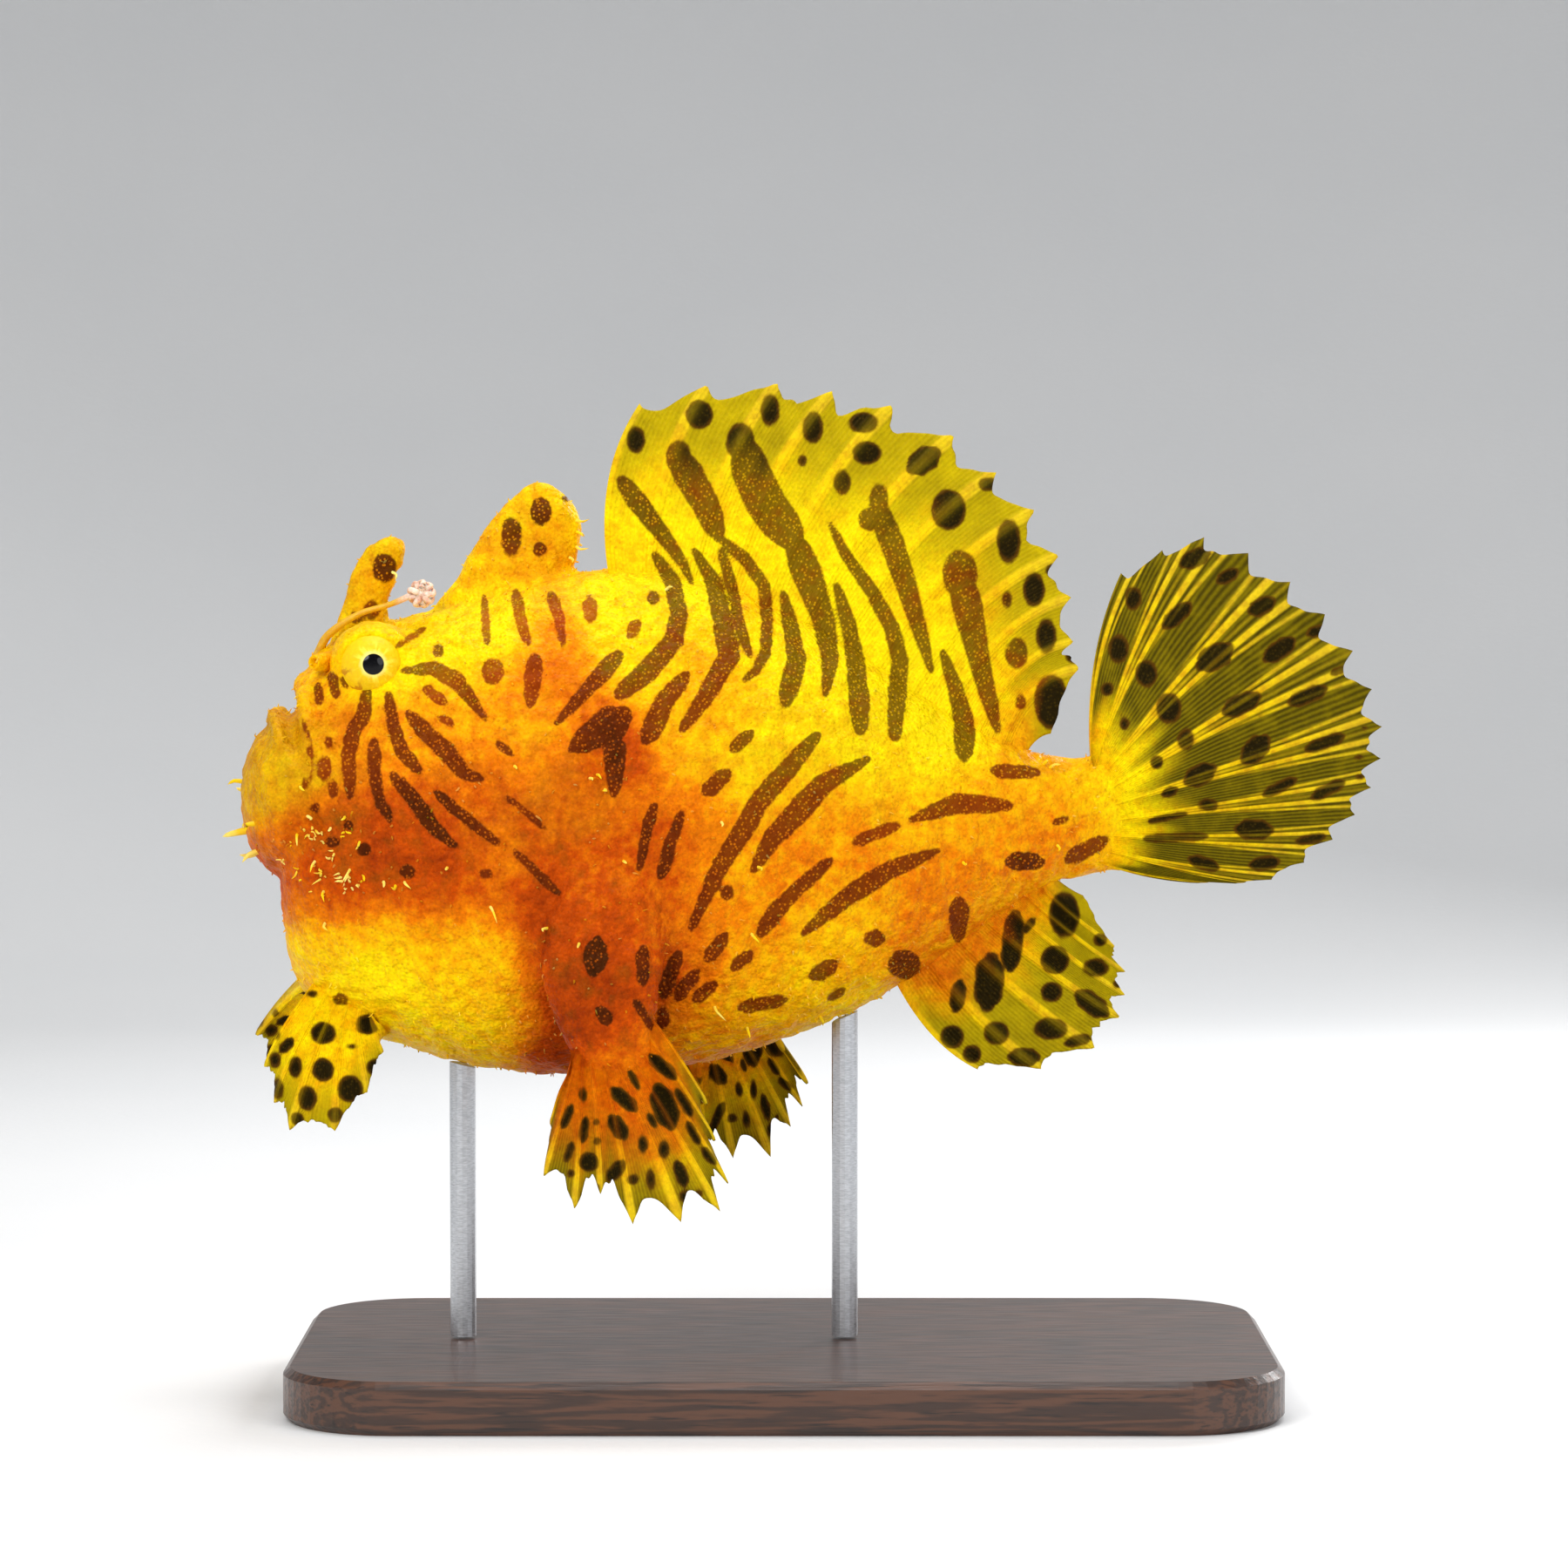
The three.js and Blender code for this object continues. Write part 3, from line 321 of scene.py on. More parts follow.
# Where stripes are fainter (above 0) or darker (below 0): pixel, radius and how much.
FADES = [
    (556, 712, 22, 0.65), (598, 712, 26, 0.75), (642, 712, 26, 0.75), (677, 700, 22, 0.7),
    (727, 722, 18, 0.5), (611, 780, 30, 0.65), (566, 771, 20, 0.5), (470, 732, 20, 0.6),
    (510, 776, 26, 0.3), (499, 799, 16, 0.4), (512, 828, 14, 0.5), (602, 932, 28, 0.5),
    (614, 1002, 34, 0.35), (1007, 957, 30, 0.3), (1130, 925, 40, 0.2), (558, 1003, 16, 0.4),
    (441, 652, 24, -0.7), (619, 600, 36, -0.6), (587, 616, 20, -0.2), (490, 934, 44, -0.35),
    (683, 1097, 30, -0.4), (1180, 989, 30, -0.5), (1038, 1107, 24, -0.35), (740, 586, 40, -0.35),
    (380, 880, 40, 0.3), (690, 870, 40, -0.15),
]

# Folds pressed into the skin: line in pixels, width and depth in millimetres.
FOLDS = [
    ([(668, 866), (690, 888), (697, 916), (690, 950)], 0.9, 0.55),
    ([(560, 700), (552, 660), (566, 630)], 1.6, 0.5),
    ([(470, 690), (500, 700), (530, 690)], 2.2, 0.5),
    ([(655, 655), (690, 676), (704, 650)], 1.8, 0.5),
    ([(430, 1112), (480, 1090), (520, 1092)], 2.4, 0.4),
    ([(1264, 870), (1270, 920), (1266, 980)], 1.8, 0.3),
]

CREASE = {"width": 0.55, "depth": 1.25}  # the closed mouth

# The skin's lumps and pebbles: wavelength, seed, height, how far sunk and how calm round the eyes.
RIPPLES = [(4.2, 3, 0.16, 0.4, 1.0), (1.7, 5, 0.10, 0.5, 0.7)]


# Meshes.


def closed_grid(points):
    """Vertices and faces of rings of points (rings x sides x 3), each end closed on its ring's mean."""
    rings, sides = points.shape[:2]
    a = np.arange(rings * sides).reshape(rings, sides)
    b = np.roll(a, -1, axis=1)
    quads = np.stack([a[:-1], b[:-1], b[1:], a[1:]], -1).reshape(-1, 4)
    first, last = rings * sides, rings * sides + 1
    start = np.stack([b[0], a[0], np.full(sides, first)], -1)
    end = np.stack([a[-1], b[-1], np.full(sides, last)], -1)
    vertices = np.vstack([points.reshape(-1, 3), points[0].mean(0), points[-1].mean(0)])
    return outwards(vertices, quads.tolist() + start.tolist() + end.tolist())


def outwards(vertices, faces):
    """The same surface with its faces turned outwards: reversed if its signed volume,
    the sum of a.(b x c)/6 over its triangles, is negative."""
    corners = np.array([f[:3] for f in faces] + [(f[0], f[2], f[3]) for f in faces if len(f) == 4])
    a, b, c = (vertices[corners[:, i]] for i in range(3))
    if np.einsum("ij,ij->i", a, np.cross(b, c)).sum() < 0:
        faces = [face[::-1] for face in faces]
    return vertices, faces


def joined(parts):
    """One set of vertices and faces from several."""
    vertices = np.vstack([part[0] for part in parts])
    faces = []
    base = 0
    for part_vertices, part_faces in parts:
        faces += [[base + i for i in face] for face in part_faces]
        base += len(part_vertices)
    return vertices, faces


def add_object(name, vertices, faces, smooth=True):
    """A mesh object at the origin, from millimetres."""
    mesh = bpy.data.meshes.new(name)
    mesh.from_pydata((np.asarray(vertices) * MM).tolist(), [], faces)
    mesh.polygons.foreach_set("use_smooth", [smooth] * len(mesh.polygons))
    mesh.update()
    piece = bpy.data.objects.new(name, mesh)
    bpy.context.scene.collection.objects.link(piece)
    return piece


def mesh_points(mesh, what="vertices"):
    """Positions in millimetres, or the vertices' normals."""
    values = np.zeros(len(mesh.vertices) * 3, np.float32)
    if what == "vertices":
        mesh.vertices.foreach_get("co", values)
        values /= MM
    else:
        mesh.vertex_normals.foreach_get("vector", values)
    return values.reshape(-1, 3).astype(float)


def set_attribute(mesh, name, values):
    layer = mesh.attributes.new(name, "FLOAT", "POINT")
    layer.data.foreach_set("value", np.asarray(values, np.float32))


# Body, from the ribs of the solids: the tops and bottoms of its sections, each as x and z, their half
# widths and how pear-shaped they are. The last one is thinner here, to end inside the tail fin.

RIBS = np.array([
    (-56.2, 72.5, -57.0, 68.5, 1.5, 0.0),
    (-55.2, 82.0, -57.4, 56.6, 10.2, 0.08),
    (-51.8, 86.2, -54.6, 45.6, 13.2, 0.12),
    (-41.0, 90.0, -44.0, 39.9, 16.6, 0.14),
    (-26.5, 94.2, -28.0, 36.6, 18.8, 0.14),
    (-11.0, 94.3, -9.0, 38.0, 17.6, 0.16),
    (5.0, 88.0, 9.5, 44.6, 13.4, 0.16),
    (21.0, 77.6, 23.5, 53.8, 8.2, 0.1),
    (31.0, 73.4, 31.5, 58.6, 5.0, 0.0),
    (39.0, 74.4, 39.5, 60.0, 1.2, 0.0),
])
SQUARENESS = 2.25
INSET = 0.12
JAW = {"centre": (-52.5, 0, 68.6), "radii": (9.7, 13.5, 10.1), "squareness": 2.6}
EYE = {"x": -46.6, "y": 8.1, "z": 83.9, "radius": 3.9, "rim": 9.8, "collar": 4.1, "foot": 5.1}
PUPIL = {"x": -46.2, "z": 84.1, "radius": 1.2}
NOSTRIL = {"x": -52.6, "y": 7.6, "z": 84.2, "radius": 0.95, "height": 1.5, "forward": 0.6}
ESCA = {"x": -41.2, "y": -4.8, "z": 91.9, "radius": 1.35}

UPPER_LIP = [(-51.4, -13.0, 63.5), (-52.8, -12.3, 71.5), (-54.0, -8.4, 79.2), (-54.5, 0, 81.6)]
LOWER_LIP = [(-53.2, -12.9, 66.0), (-55.6, -11.8, 72.6), (-57.6, -7.6, 76.9), (-58.3, 0, 78.0)]
MOUTH_LINE = [(-50.6, -13.3, 62.5), (-52.9, -12.9, 67.0), (-54.6, -12.0, 72.6), (-56.2, -8.0, 77.8),
              (-56.7, 0, 79.6)]


def rib_rails():
    """The rails along the backs and bellies of the ribs, and their half widths with how pear-shaped."""
    zeros = np.zeros(len(RIBS))
    top = smooth_line(np.stack([RIBS[:, 0], zeros, RIBS[:, 1]], 1))
    bottom = smooth_line(np.stack([RIBS[:, 2], zeros, RIBS[:, 3]], 1))
    return top, bottom, smooth_line(RIBS[:, 4:6])


TOP_RAIL, BOTTOM_RAIL, GIRTH_RAIL = rib_rails()


def signed_power(value, exponent):
    return np.sign(value) * np.abs(value) ** exponent


def body_point(s, angle, grow=0.0):
    """Superellipse cross-section at s: middle + up rise - y half side, with rise = sin^(2/q) and
    side = cos^(2/q) of the angle, and half = girth (1 - pear rise)."""
    top, bottom, girth = TOP_RAIL(s), BOTTOM_RAIL(s), GIRTH_RAIL(s)
    middle = (top + bottom) / 2
    up = top - middle
    up *= 1 + grow / np.maximum(np.linalg.norm(up, axis=-1, keepdims=True), 1e-6)
    rise = signed_power(np.sin(angle), 2 / SQUARENESS)
    side = signed_power(np.cos(angle), 2 / SQUARENESS)
    half = (girth[..., 0] + grow) * (1 - girth[..., 1] * rise)
    point = middle + up * rise[..., None]
    point[..., 1] -= side * half
    return point


def body_grid(along=170, around=150):
    """Rings at s = t^1.25, closer together at the mouth."""
    t = np.linspace(0, 1, along)[:, None]
    angle = (np.arange(around)[None, :] + 0.5) / around * 2 * math.pi
    s, angle = np.broadcast_arrays(t**1.25, angle)
    return closed_grid(body_point(s, angle, -INSET))


def square_ball(centre, radii, squareness, rows=60, around=80):
    """Superellipsoid: a unit direction divided by (|x|^q + |y|^q + |z|^q)^(1/q), times the radii."""
    tilt = np.linspace(0.02, math.pi - 0.02, rows)[:, None]
    tilt, turn = np.broadcast_arrays(tilt, turns(around)[None, :])
    p = np.stack([np.sin(tilt) * np.cos(turn), np.sin(tilt) * np.sin(turn), np.cos(tilt)], -1)
    p = p / (np.abs(p) ** squareness).sum(-1, keepdims=True) ** (1 / squareness)
    return closed_grid(np.asarray(centre) + p * (np.asarray(radii) - INSET))


def square_directions(line, t, reach, aside=None):
    """Directions across and outward, square to a line whose run at t is taken from t - reach to
    t + reach: across = aside x run, with aside Z, or X where the line is nearly upright."""
    along = unit(line(np.minimum(t + reach, 1)) - line(np.maximum(t - reach, 0)))
    if aside is None:
        aside = np.where(np.abs(along[:, 2:3]) > 0.9, [[1.0, 0, 0]], [[0, 0, 1.0]])
    across = unit(np.cross(aside, along))
    return across[:, None], np.cross(along, across)[:, None]


def tube(points, radii, sides=16, steps=24, round_end=False):
    """A tapering tube: line(t) + radius(t) (cos a across + sin a outward). A round end draws the
    radius in by sqrt(1 - past^2) over the last fifth."""
    line = smooth_line(points)
    t = np.linspace(0, 1, steps)
    across, outward = square_directions(line, t, 0.01)
    radius = np.interp(t, np.linspace(0, 1, len(radii)), radii)
    if round_end:
        past = np.clip((t - 0.8) / 0.2, 0, 1)
        radius = radius * np.sqrt(np.maximum(1 - past**2, 0.02))
    angle = turns(sides)[None, :, None]
    ring = across * np.cos(angle) + outward * np.sin(angle)
    return closed_grid(line(t)[:, None] + ring * radius[:, None, None])


def lip_roll(half, radii):
    other = [(x, -y, z) for x, y, z in half[-2::-1]]
    return tube(half + other, [r - INSET for r in radii], 16, 80)


def limb(stations, sides=60, steps=80):
    """An oval limb: centre + taper (cos a broad across + sin a thick outward), across lying in the
    body's upright plane. The end rounds off by sqrt(1 - past^2) over its last seventh."""
    data = np.asarray(stations, float)
    line, sizes = smooth_line(data[:, :3]), smooth_line(data[:, 3:])
    t = np.linspace(0, 1, steps)
    size = sizes(t) - INSET
    across, outward = square_directions(line, t, 0.02, [0.0, 1.0, 0.0])
    past = np.clip((t - 0.86) / 0.14, 0, 1)
    taper = np.sqrt(np.maximum(1 - past**2, 0.02))[:, None, None]
    angle = turns(sides)[None, :, None]
    broad = across * np.cos(angle) * size[:, None, :1]
    thick = outward * np.sin(angle) * size[:, None, 1:]
    return closed_grid(line(t)[:, None] + taper * (broad + thick))


def lathe(profile, sides, centre, side, lean=0.0):
    """A turned shape: (r cos a, h, r sin a) leaned by an angle round Z, h pointing out of the flank."""
    data = np.asarray(profile, float)
    angle = turns(sides)[None, :]
    r, h = data[:, :1], np.broadcast_to(data[:, 1:], (len(data), sides))
    x, y, z = r * np.cos(angle), h, r * np.sin(angle)
    x, y = x * math.cos(lean) - y * math.sin(lean), x * math.sin(lean) + y * math.cos(lean)
    return closed_grid(np.stack([x, side * y, z], -1) + np.asarray(centre))


def eye_collar(side):
    """A low mound round the eye whose top dips towards the globe."""
    top = EYE["rim"] - EYE["y"]
    profile = [(0.3, -4), (EYE["foot"], -3.2), (0.95 * EYE["foot"], 0.2), (EYE["collar"], top - 0.35),
               (EYE["collar"] - 0.4, top - 0.02), (EYE["collar"] - 0.8, top - 0.1), (2.8, top - 0.7),
               (0.3, top - 0.8)]
    return lathe(profile, 48, (EYE["x"], side * EYE["y"], EYE["z"]), side)


def nostril(side):
    r, h = NOSTRIL["radius"], NOSTRIL["height"]
    profile = [(0.1, -2.4), (1.3 * r, -2.4), (1.05 * r, 0.2 * h), (0.92 * r, 0.5 * h), (0.86 * r, 0.68 * h),
               (0.72 * r, 0.74 * h), (0.56 * r, 0.68 * h), (0.46 * r, 0.3 * h), (0.05, 0.2 * h)]
    centre = (NOSTRIL["x"], side * NOSTRIL["y"], NOSTRIL["z"])
    return lathe(profile, 28, centre, side, NOSTRIL["forward"])


SPINES = {
    "second": [(-48.8, 0, 84.5, 4.0, 2.6), (-48.0, 0, 90.0, 2.9, 1.9), (-46.9, 0, 93.9, 2.8, 1.7),
               (-45.3, 0, 95.9, 2.6, 1.6), (-43.6, 0, 95.5, 2.3, 1.4)],
    "third": [(-30.6, 0, 89.5, 9.4, 5.0), (-29.9, 0, 95.0, 6.5, 3.6), (-28.3, 0, 98.6, 5.4, 3.0),
              (-26.4, 0, 101.2, 4.4, 2.5), (-24.6, 0, 102.9, 3.2, 1.9)],
}

ARMS = {
    "left": [(-19.5, -9.5, 68.0, 8.6, 6.5), (-20.0, -15.5, 58.0, 8.2, 5.0), (-20.2, -19.6, 49.0, 6.8, 3.6),
             (-19.0, -21.2, 42.0, 4.9, 2.5), (-17.9, -21.8, 37.0, 3.9, 1.1)],
    "right": [(-17.5, 9.5, 68.0, 8.6, 6.5), (-16.0, 15.5, 58.0, 8.2, 5.0), (-13.0, 19.4, 49.5, 6.8, 3.6),
              (-10.4, 20.8, 43.2, 5.4, 2.7), (-8.6, 21.4, 39.0, 4.4, 1.3)],
}


def skin_object():
    """Body, jaw, lips, eye collars, arms and spines fused by a voxel remesh, then eased."""
    parts = [body_grid(), square_ball(**JAW)]
    parts.append(lip_roll(UPPER_LIP, [0.5, 1.1, 1.5, 1.7, 1.5, 1.1, 0.5]))
    parts.append(lip_roll(LOWER_LIP, [0.4, 0.8, 1.0, 1.1, 1.0, 0.8, 0.4]))
    parts += [eye_collar(side) for side in (-1, 1)]
    parts += [limb(stations) for stations in (*SPINES.values(), *ARMS.values())]
    rough = add_object("rough_skin", *joined(parts))
    remesh = rough.modifiers.new("fuse", "REMESH")
    remesh.mode = "VOXEL"
    remesh.voxel_size = VOXEL * MM
    graph = bpy.context.evaluated_depsgraph_get()
    fused = bpy.data.meshes.new_from_object(rough.evaluated_get(graph))
    bpy.data.objects.remove(rough)
    corners = np.zeros(len(fused.loops), np.int32)
    fused.loops.foreach_get("vertex_index", corners)
    ease(fused, corners.reshape(-1, 4), 9)
    return fused, corners.reshape(-1, 4)


def ease(mesh, quads, rounds):
    """Each round moves a vertex by half the way to the mean of its neighbours, alternately with
    a step back of 0.47, which keeps the volume."""
    points = mesh_points(mesh)
    a = quads.ravel()
    b = np.roll(quads, -1, axis=1).ravel()
    ends, others = np.concatenate([a, b]), np.concatenate([b, a])
    count = np.bincount(ends, minlength=len(points))[:, None]
    for step in range(2 * rounds):
        sums = [np.bincount(ends, values, len(points)) for values in points[others].T]
        share = 0.5 if step % 2 == 0 else -0.47
        points = points + share * (np.stack(sums, 1) / np.maximum(count, 1) - points)
    mesh.vertices.foreach_set("co", (points * MM).ravel().astype(np.float32))
    mesh.update()


def line_gap(points, line, samples=120):
    """Distance from points to the nearest of many samples of a smooth line, on the folded flank."""
    folded = near_side(points)
    nearest = np.full(len(points), 1e9)
    for sample in smooth_line(line)(np.linspace(0, 1, samples)):
        nearest = np.minimum(nearest, ((folded - sample) ** 2).sum(1))
    return np.sqrt(nearest)


def press_folds(mesh):
    """Moves vertices along their normals by -depth e^-(gap/width)^2 at the mouth line and each fold,
    and by soft ripples for the skin's lumps and pebbles, which are calmer round the eyes."""
    points, normals = mesh_points(mesh), mesh_points(mesh, "normals")
    spots = to_photo(points)
    push = -CREASE["depth"] * np.exp(-((line_gap(points, MOUTH_LINE) / CREASE["width"]) ** 2))
    side = np.clip((np.abs(points[:, 1]) - 4) / 4, 0, 1)
    for line, width, depth in FOLDS:
        gap = -stroke_depth(spots, line, (0, 0))
        push -= side * depth * np.exp(-((gap / width) ** 2))
    rim = np.hypot(points[:, 0] - EYE["x"], points[:, 2] - EYE["z"])
    near_eye = np.exp(-((rim / 5.5) ** 4)) * side
    for wavelength, seed, height, sunk, calm in RIPPLES:
        push += (1 - calm * near_eye) * height * (ripple(points, wavelength, seed) - sunk)
    moved = points + normals * push[:, None]
    mesh.vertices.foreach_set("co", (moved * MM).ravel().astype(np.float32))
    mesh.update()


# Fins: finer versions of the solids' sheets.


def on_rail(rail, start, end, shift):
    return lambda u: rail(start + (end - start) * u) + np.asarray(shift, float)


def middle_bend(root, tip, shift):
    return lambda u: (root(u) + tip(u)) / 2 + np.asarray(shift, float)


def dorsal_bend(root, tip):
    """The tip less 0.42 of the ray's length in the direction of its end, which sweeps 68 to -4 degrees,
    with the first rays bowed forwards by up to 2.6 (1 - u)^5."""

    def bend(u):
        start, end = root(u), tip(u)
        angle = np.radians(68 + (-4 - 68) * u)
        reach = 0.42 * np.linalg.norm(end - start, axis=-1)
        bow = 2.6 * (1 - u) ** 5
        return end - np.stack([np.cos(angle) * reach + bow, 0 * angle, np.sin(angle) * reach], -1)

    return bend


def caudal_bend(root, tip):
    def bend(u):
        bow = -2.6 + 2.0 * np.minimum(1, 2 * u)
        shift = np.stack([bow, 0 * u, 1.2 - 2.2 * u], -1)
        return (root(u) + tip(u)) / 2 + shift

    return bend


def anal_bend(root, tip):
    """Half way from root to tip, lowered, the first rays bowed forwards and down by 1.7 (1 - u)^4."""

    def bend(u):
        bow = 1.7 * (1 - u) ** 4
        return (root(u) + tip(u)) / 2 + np.stack([0.6 - bow, 0 * u, -1.6 - bow], -1)

    return bend


def fin_sheet(fin):
    """Middle sheet and half thickness. The point at (u, v) is the quadratic Bezier of root, bend and
    tip at v times reach, where reach falls steeply behind each ray's tip and climbs to the next.
    Half thickness = web/2 + ridge crest (1 - 0.55 v) + flesh (1 - v)^fade; a ray's crest is
    e^-(d/0.12)^2 across its phase. A forked ray has an inner crest and two that part outwards."""
    rays, last_ray = fin["rays"], fin["last_ray"]
    columns = (rays - 1) * fin["columns"] + 1 + (10 if last_ray < 1 else 0)
    u = np.linspace(0, 1, columns)[:, None]
    v = np.linspace(0, 1, fin["rows"])[None, :]
    spread = last_ray / (rays - 1)
    turn = np.minimum(u / spread, rays - 1 + 0.35)
    phase = turn - np.floor(turn + 1e-9)
    gap = np.minimum(phase, 1 - phase)
    fall = fin["fall"]
    tooth = phase * fin["teeth"] % 1
    climb = (tooth - fall) / (1 - fall)
    notch = np.where(tooth < fall, np.sin(tooth / fall * math.pi / 2), np.cos(climb * math.pi / 2))
    wear = 1 + 0.25 * ripple(np.repeat(u, 3, 1) * 40, 2.6, fin["seed"])[:, None]
    reach = 1 - fin["sag"] * np.clip(notch, 0, 1) * wear
    root, bend, tip = fin["root"](u), fin["bend"](u), fin["tip"](u)
    w = (v * reach)[..., None]
    sheet = (1 - w) ** 2 * root + 2 * w * (1 - w) * bend + w**2 * tip
    if fin["forked"]:
        inner = np.exp(-((gap / 0.06) ** 2)) * np.maximum(1 - 1.2 * v, 0.3)
        outer = np.exp(-(((gap - 0.06 - 0.1 * v) / 0.045) ** 2)) * np.minimum(1, 2.6 * v)
        branch = 0.55 * np.exp(-(((gap - 0.06 - 0.26 * v) / 0.04) ** 2)) * np.clip(2 * v - 0.5, 0, 1)
        crest = np.maximum(np.maximum(inner, outer), branch)
    else:
        crest = np.exp(-((gap / 0.12) ** 2)) * np.ones_like(v)
    crest = np.where(u / spread > rays - 1 + 0.3, 0, crest)
    ridge = fin["ridge"] * crest * (1 - 0.55 * v) * np.minimum(1, 4 * v + 0.2)
    half = fin["web"] / 2 + ridge + fin["flesh"] * (1 - v) ** fin["fade"]
    half = half * (0.45 + 0.55 * np.sqrt(np.clip((1 - v) * 18, 0, 1)))
    return sheet, half, crest, turn * np.ones_like(v), v * np.ones_like(u)


def fin_object(name, fin):
    """The sheet's two faces, half a thickness each side of it along its normal, stitched at the rim."""
    sheet, half, crest, turn, out = fin_sheet(fin)
    normal = unit(np.cross(np.gradient(sheet, axis=0), np.gradient(sheet, axis=1)))
    flutter = fin["flutter"] * np.sin(turn * 2 * math.pi + 2.2 * out) * out**1.5
    middle = sheet + normal * flutter[..., None]
    columns, rows = half.shape
    off = normal * half[..., None]
    vertices = np.concatenate([(middle + off).reshape(-1, 3), (middle - off).reshape(-1, 3)])
    index = np.arange(columns * rows).reshape(columns, rows)
    back = columns * rows
    front_quads = np.stack([index[:-1, :-1], index[1:, :-1], index[1:, 1:], index[:-1, 1:]], -1)
    front_quads = front_quads.reshape(-1, 4)
    back_quads = front_quads[:, ::-1] + back
    rim = np.concatenate([index[:, 0], index[-1, 1:], index[-2::-1, -1], index[0, -2:0:-1]])
    after = np.roll(rim, -1)
    rim_quads = np.stack([after, rim, rim + back, after + back], -1)
    quads = np.concatenate([front_quads, back_quads, rim_quads]).tolist()
    piece = add_object(name, *outwards(vertices, quads))
    waver = 0.05 * np.sin(turn * 5.1 + 1.3 * np.sin(turn * 2.3))
    layers = {
        "ray": crest, "out": out, "turn": turn, "dusk": np.full(out.shape, fin["dusk"]),
        "web": smooth_step(out + waver, *fin["web_from"]),
        "ink": smooth_step(out + waver, *fin["ink_from"]),
    }
    for layer, values in layers.items():
        set_attribute(piece.data, layer, np.tile(values.ravel(), 2))
    return piece


def fin_form(root, tip, bend, **sizes):
    """A fin's rails and sizes: what it shares with most fins, then its own."""
    usual = dict(last_ray=1, rows=54, columns=18, forked=False, teeth=1, fall=0.36, web=0.36, ridge=0.46,
                 flutter=0.0)
    return {**usual, "root": root, "tip": tip, "bend": bend, **sizes}


def dorsal_fin():
    root = on_rail(TOP_RAIL, 0.497, 0.832, (0, 0, -4.5))
    tip = smooth_line([
        (-16.5, 0, 113.6), (-8.8, 0, 115.7), (-0.7, 0, 116.0), (5.5, 0, 115.0), (12.4, 0, 113.4),
        (19.5, 0, 110.0), (24.3, 0, 105.7), (28.8, 0, 101.4), (31.5, 0, 96.2), (32.9, 0, 91.4),
        (33.2, 0, 86.3), (33.8, 0, 83.2), (31.2, 0, 75.8),
    ])
    return fin_form(root, tip, dorsal_bend(root, tip), rays=12, last_ray=11 / 12, rows=70, sag=0.095,
                    ridge=0.5, flesh=3.3, fade=2.6, seed=11, flutter=0.12,
                    web_from=(0.32, 0.85), ink_from=(0.52, 0.78), dusk=0.25)


def tail_fin():
    root = smooth_line([(35.2, 0, 73.0), (36.2, 0, 67.2), (35.8, 0, 61.2)])
    tip = smooth_line([
        (38.6, 0, 94.2), (48.1, 0, 98.3), (58.0, 0, 93.2), (65.2, 0, 85.3), (68.6, 0, 76.6),
        (67.4, 0, 69.6), (63.0, 0, 63.6), (56.0, 0, 59.0), (47.6, 0, 58.6),
    ])
    return fin_form(root, tip, caudal_bend(root, tip), rays=9, rows=70, columns=36, forked=True, teeth=2,
                    sag=0.06, ridge=0.42, flesh=1.6, fade=3.0, seed=12, flutter=0.1,
                    web_from=(0.1, 0.36), ink_from=(0.0, 0.16), dusk=1.0)


def anal_fin():
    root = on_rail(BOTTOM_RAIL, 0.69, 0.868, (-1.2, 0, 3.4))
    tip = smooth_line([
        (22.3, 0, 37.1), (29.6, 0, 37.1), (35.8, 0, 39.5), (38.7, 0, 43.1), (39.3, 0, 45.7),
        (39.3, 0, 48.4), (38.0, 0, 51.4), (35.0, 0, 57.0),
    ])
    return fin_form(root, tip, anal_bend(root, tip), rays=7, last_ray=6 / 7, rows=56, sag=0.1,
                    flesh=2.9, fade=2.4, seed=13, flutter=0.1,
                    web_from=(0.2, 0.62), ink_from=(0.12, 0.3), dusk=0.45)


HANDS = {
    "left": {
        "root": [(-23.6, -21.0, 41.0), (-21.4, -21.3, 41.2), (-19.0, -20.7, 43.6), (-17.4, -19.6, 48.2)],
        "tip": [(-25.8, -22.0, 33.2), (-26.6, -23.2, 27.7), (-23.2, -24.2, 24.2), (-20.3, -24.8, 25.9),
                (-16.7, -25.4, 22.6), (-11.4, -25.2, 22.8), (-7.1, -24.4, 23.9), (-6.2, -23.6, 26.9),
                (-7.7, -22.4, 31.5), (-8.6, -20.8, 35.4)],
        "bow": (0.4, -1.6, 0.6),
    },
    "right": {
        "root": [(-13.6, 20.6, 42.0), (-11.0, 20.9, 42.2), (-8.6, 20.4, 44.4), (-7.4, 19.4, 48.6)],
        "tip": [(-14.5, 21.8, 34.5), (-15.2, 23.0, 29.4), (-13.0, 24.0, 26.0), (-9.6, 24.6, 24.4),
                (-6.1, 24.8, 23.8), (-1.6, 24.6, 24.0), (0.8, 24.0, 27.7), (2.2, 23.4, 30.2),
                (2.8, 22.6, 33.0), (0.0, 21.0, 37.0)],
        "bow": (0.4, 1.6, 0.6),
    },
}

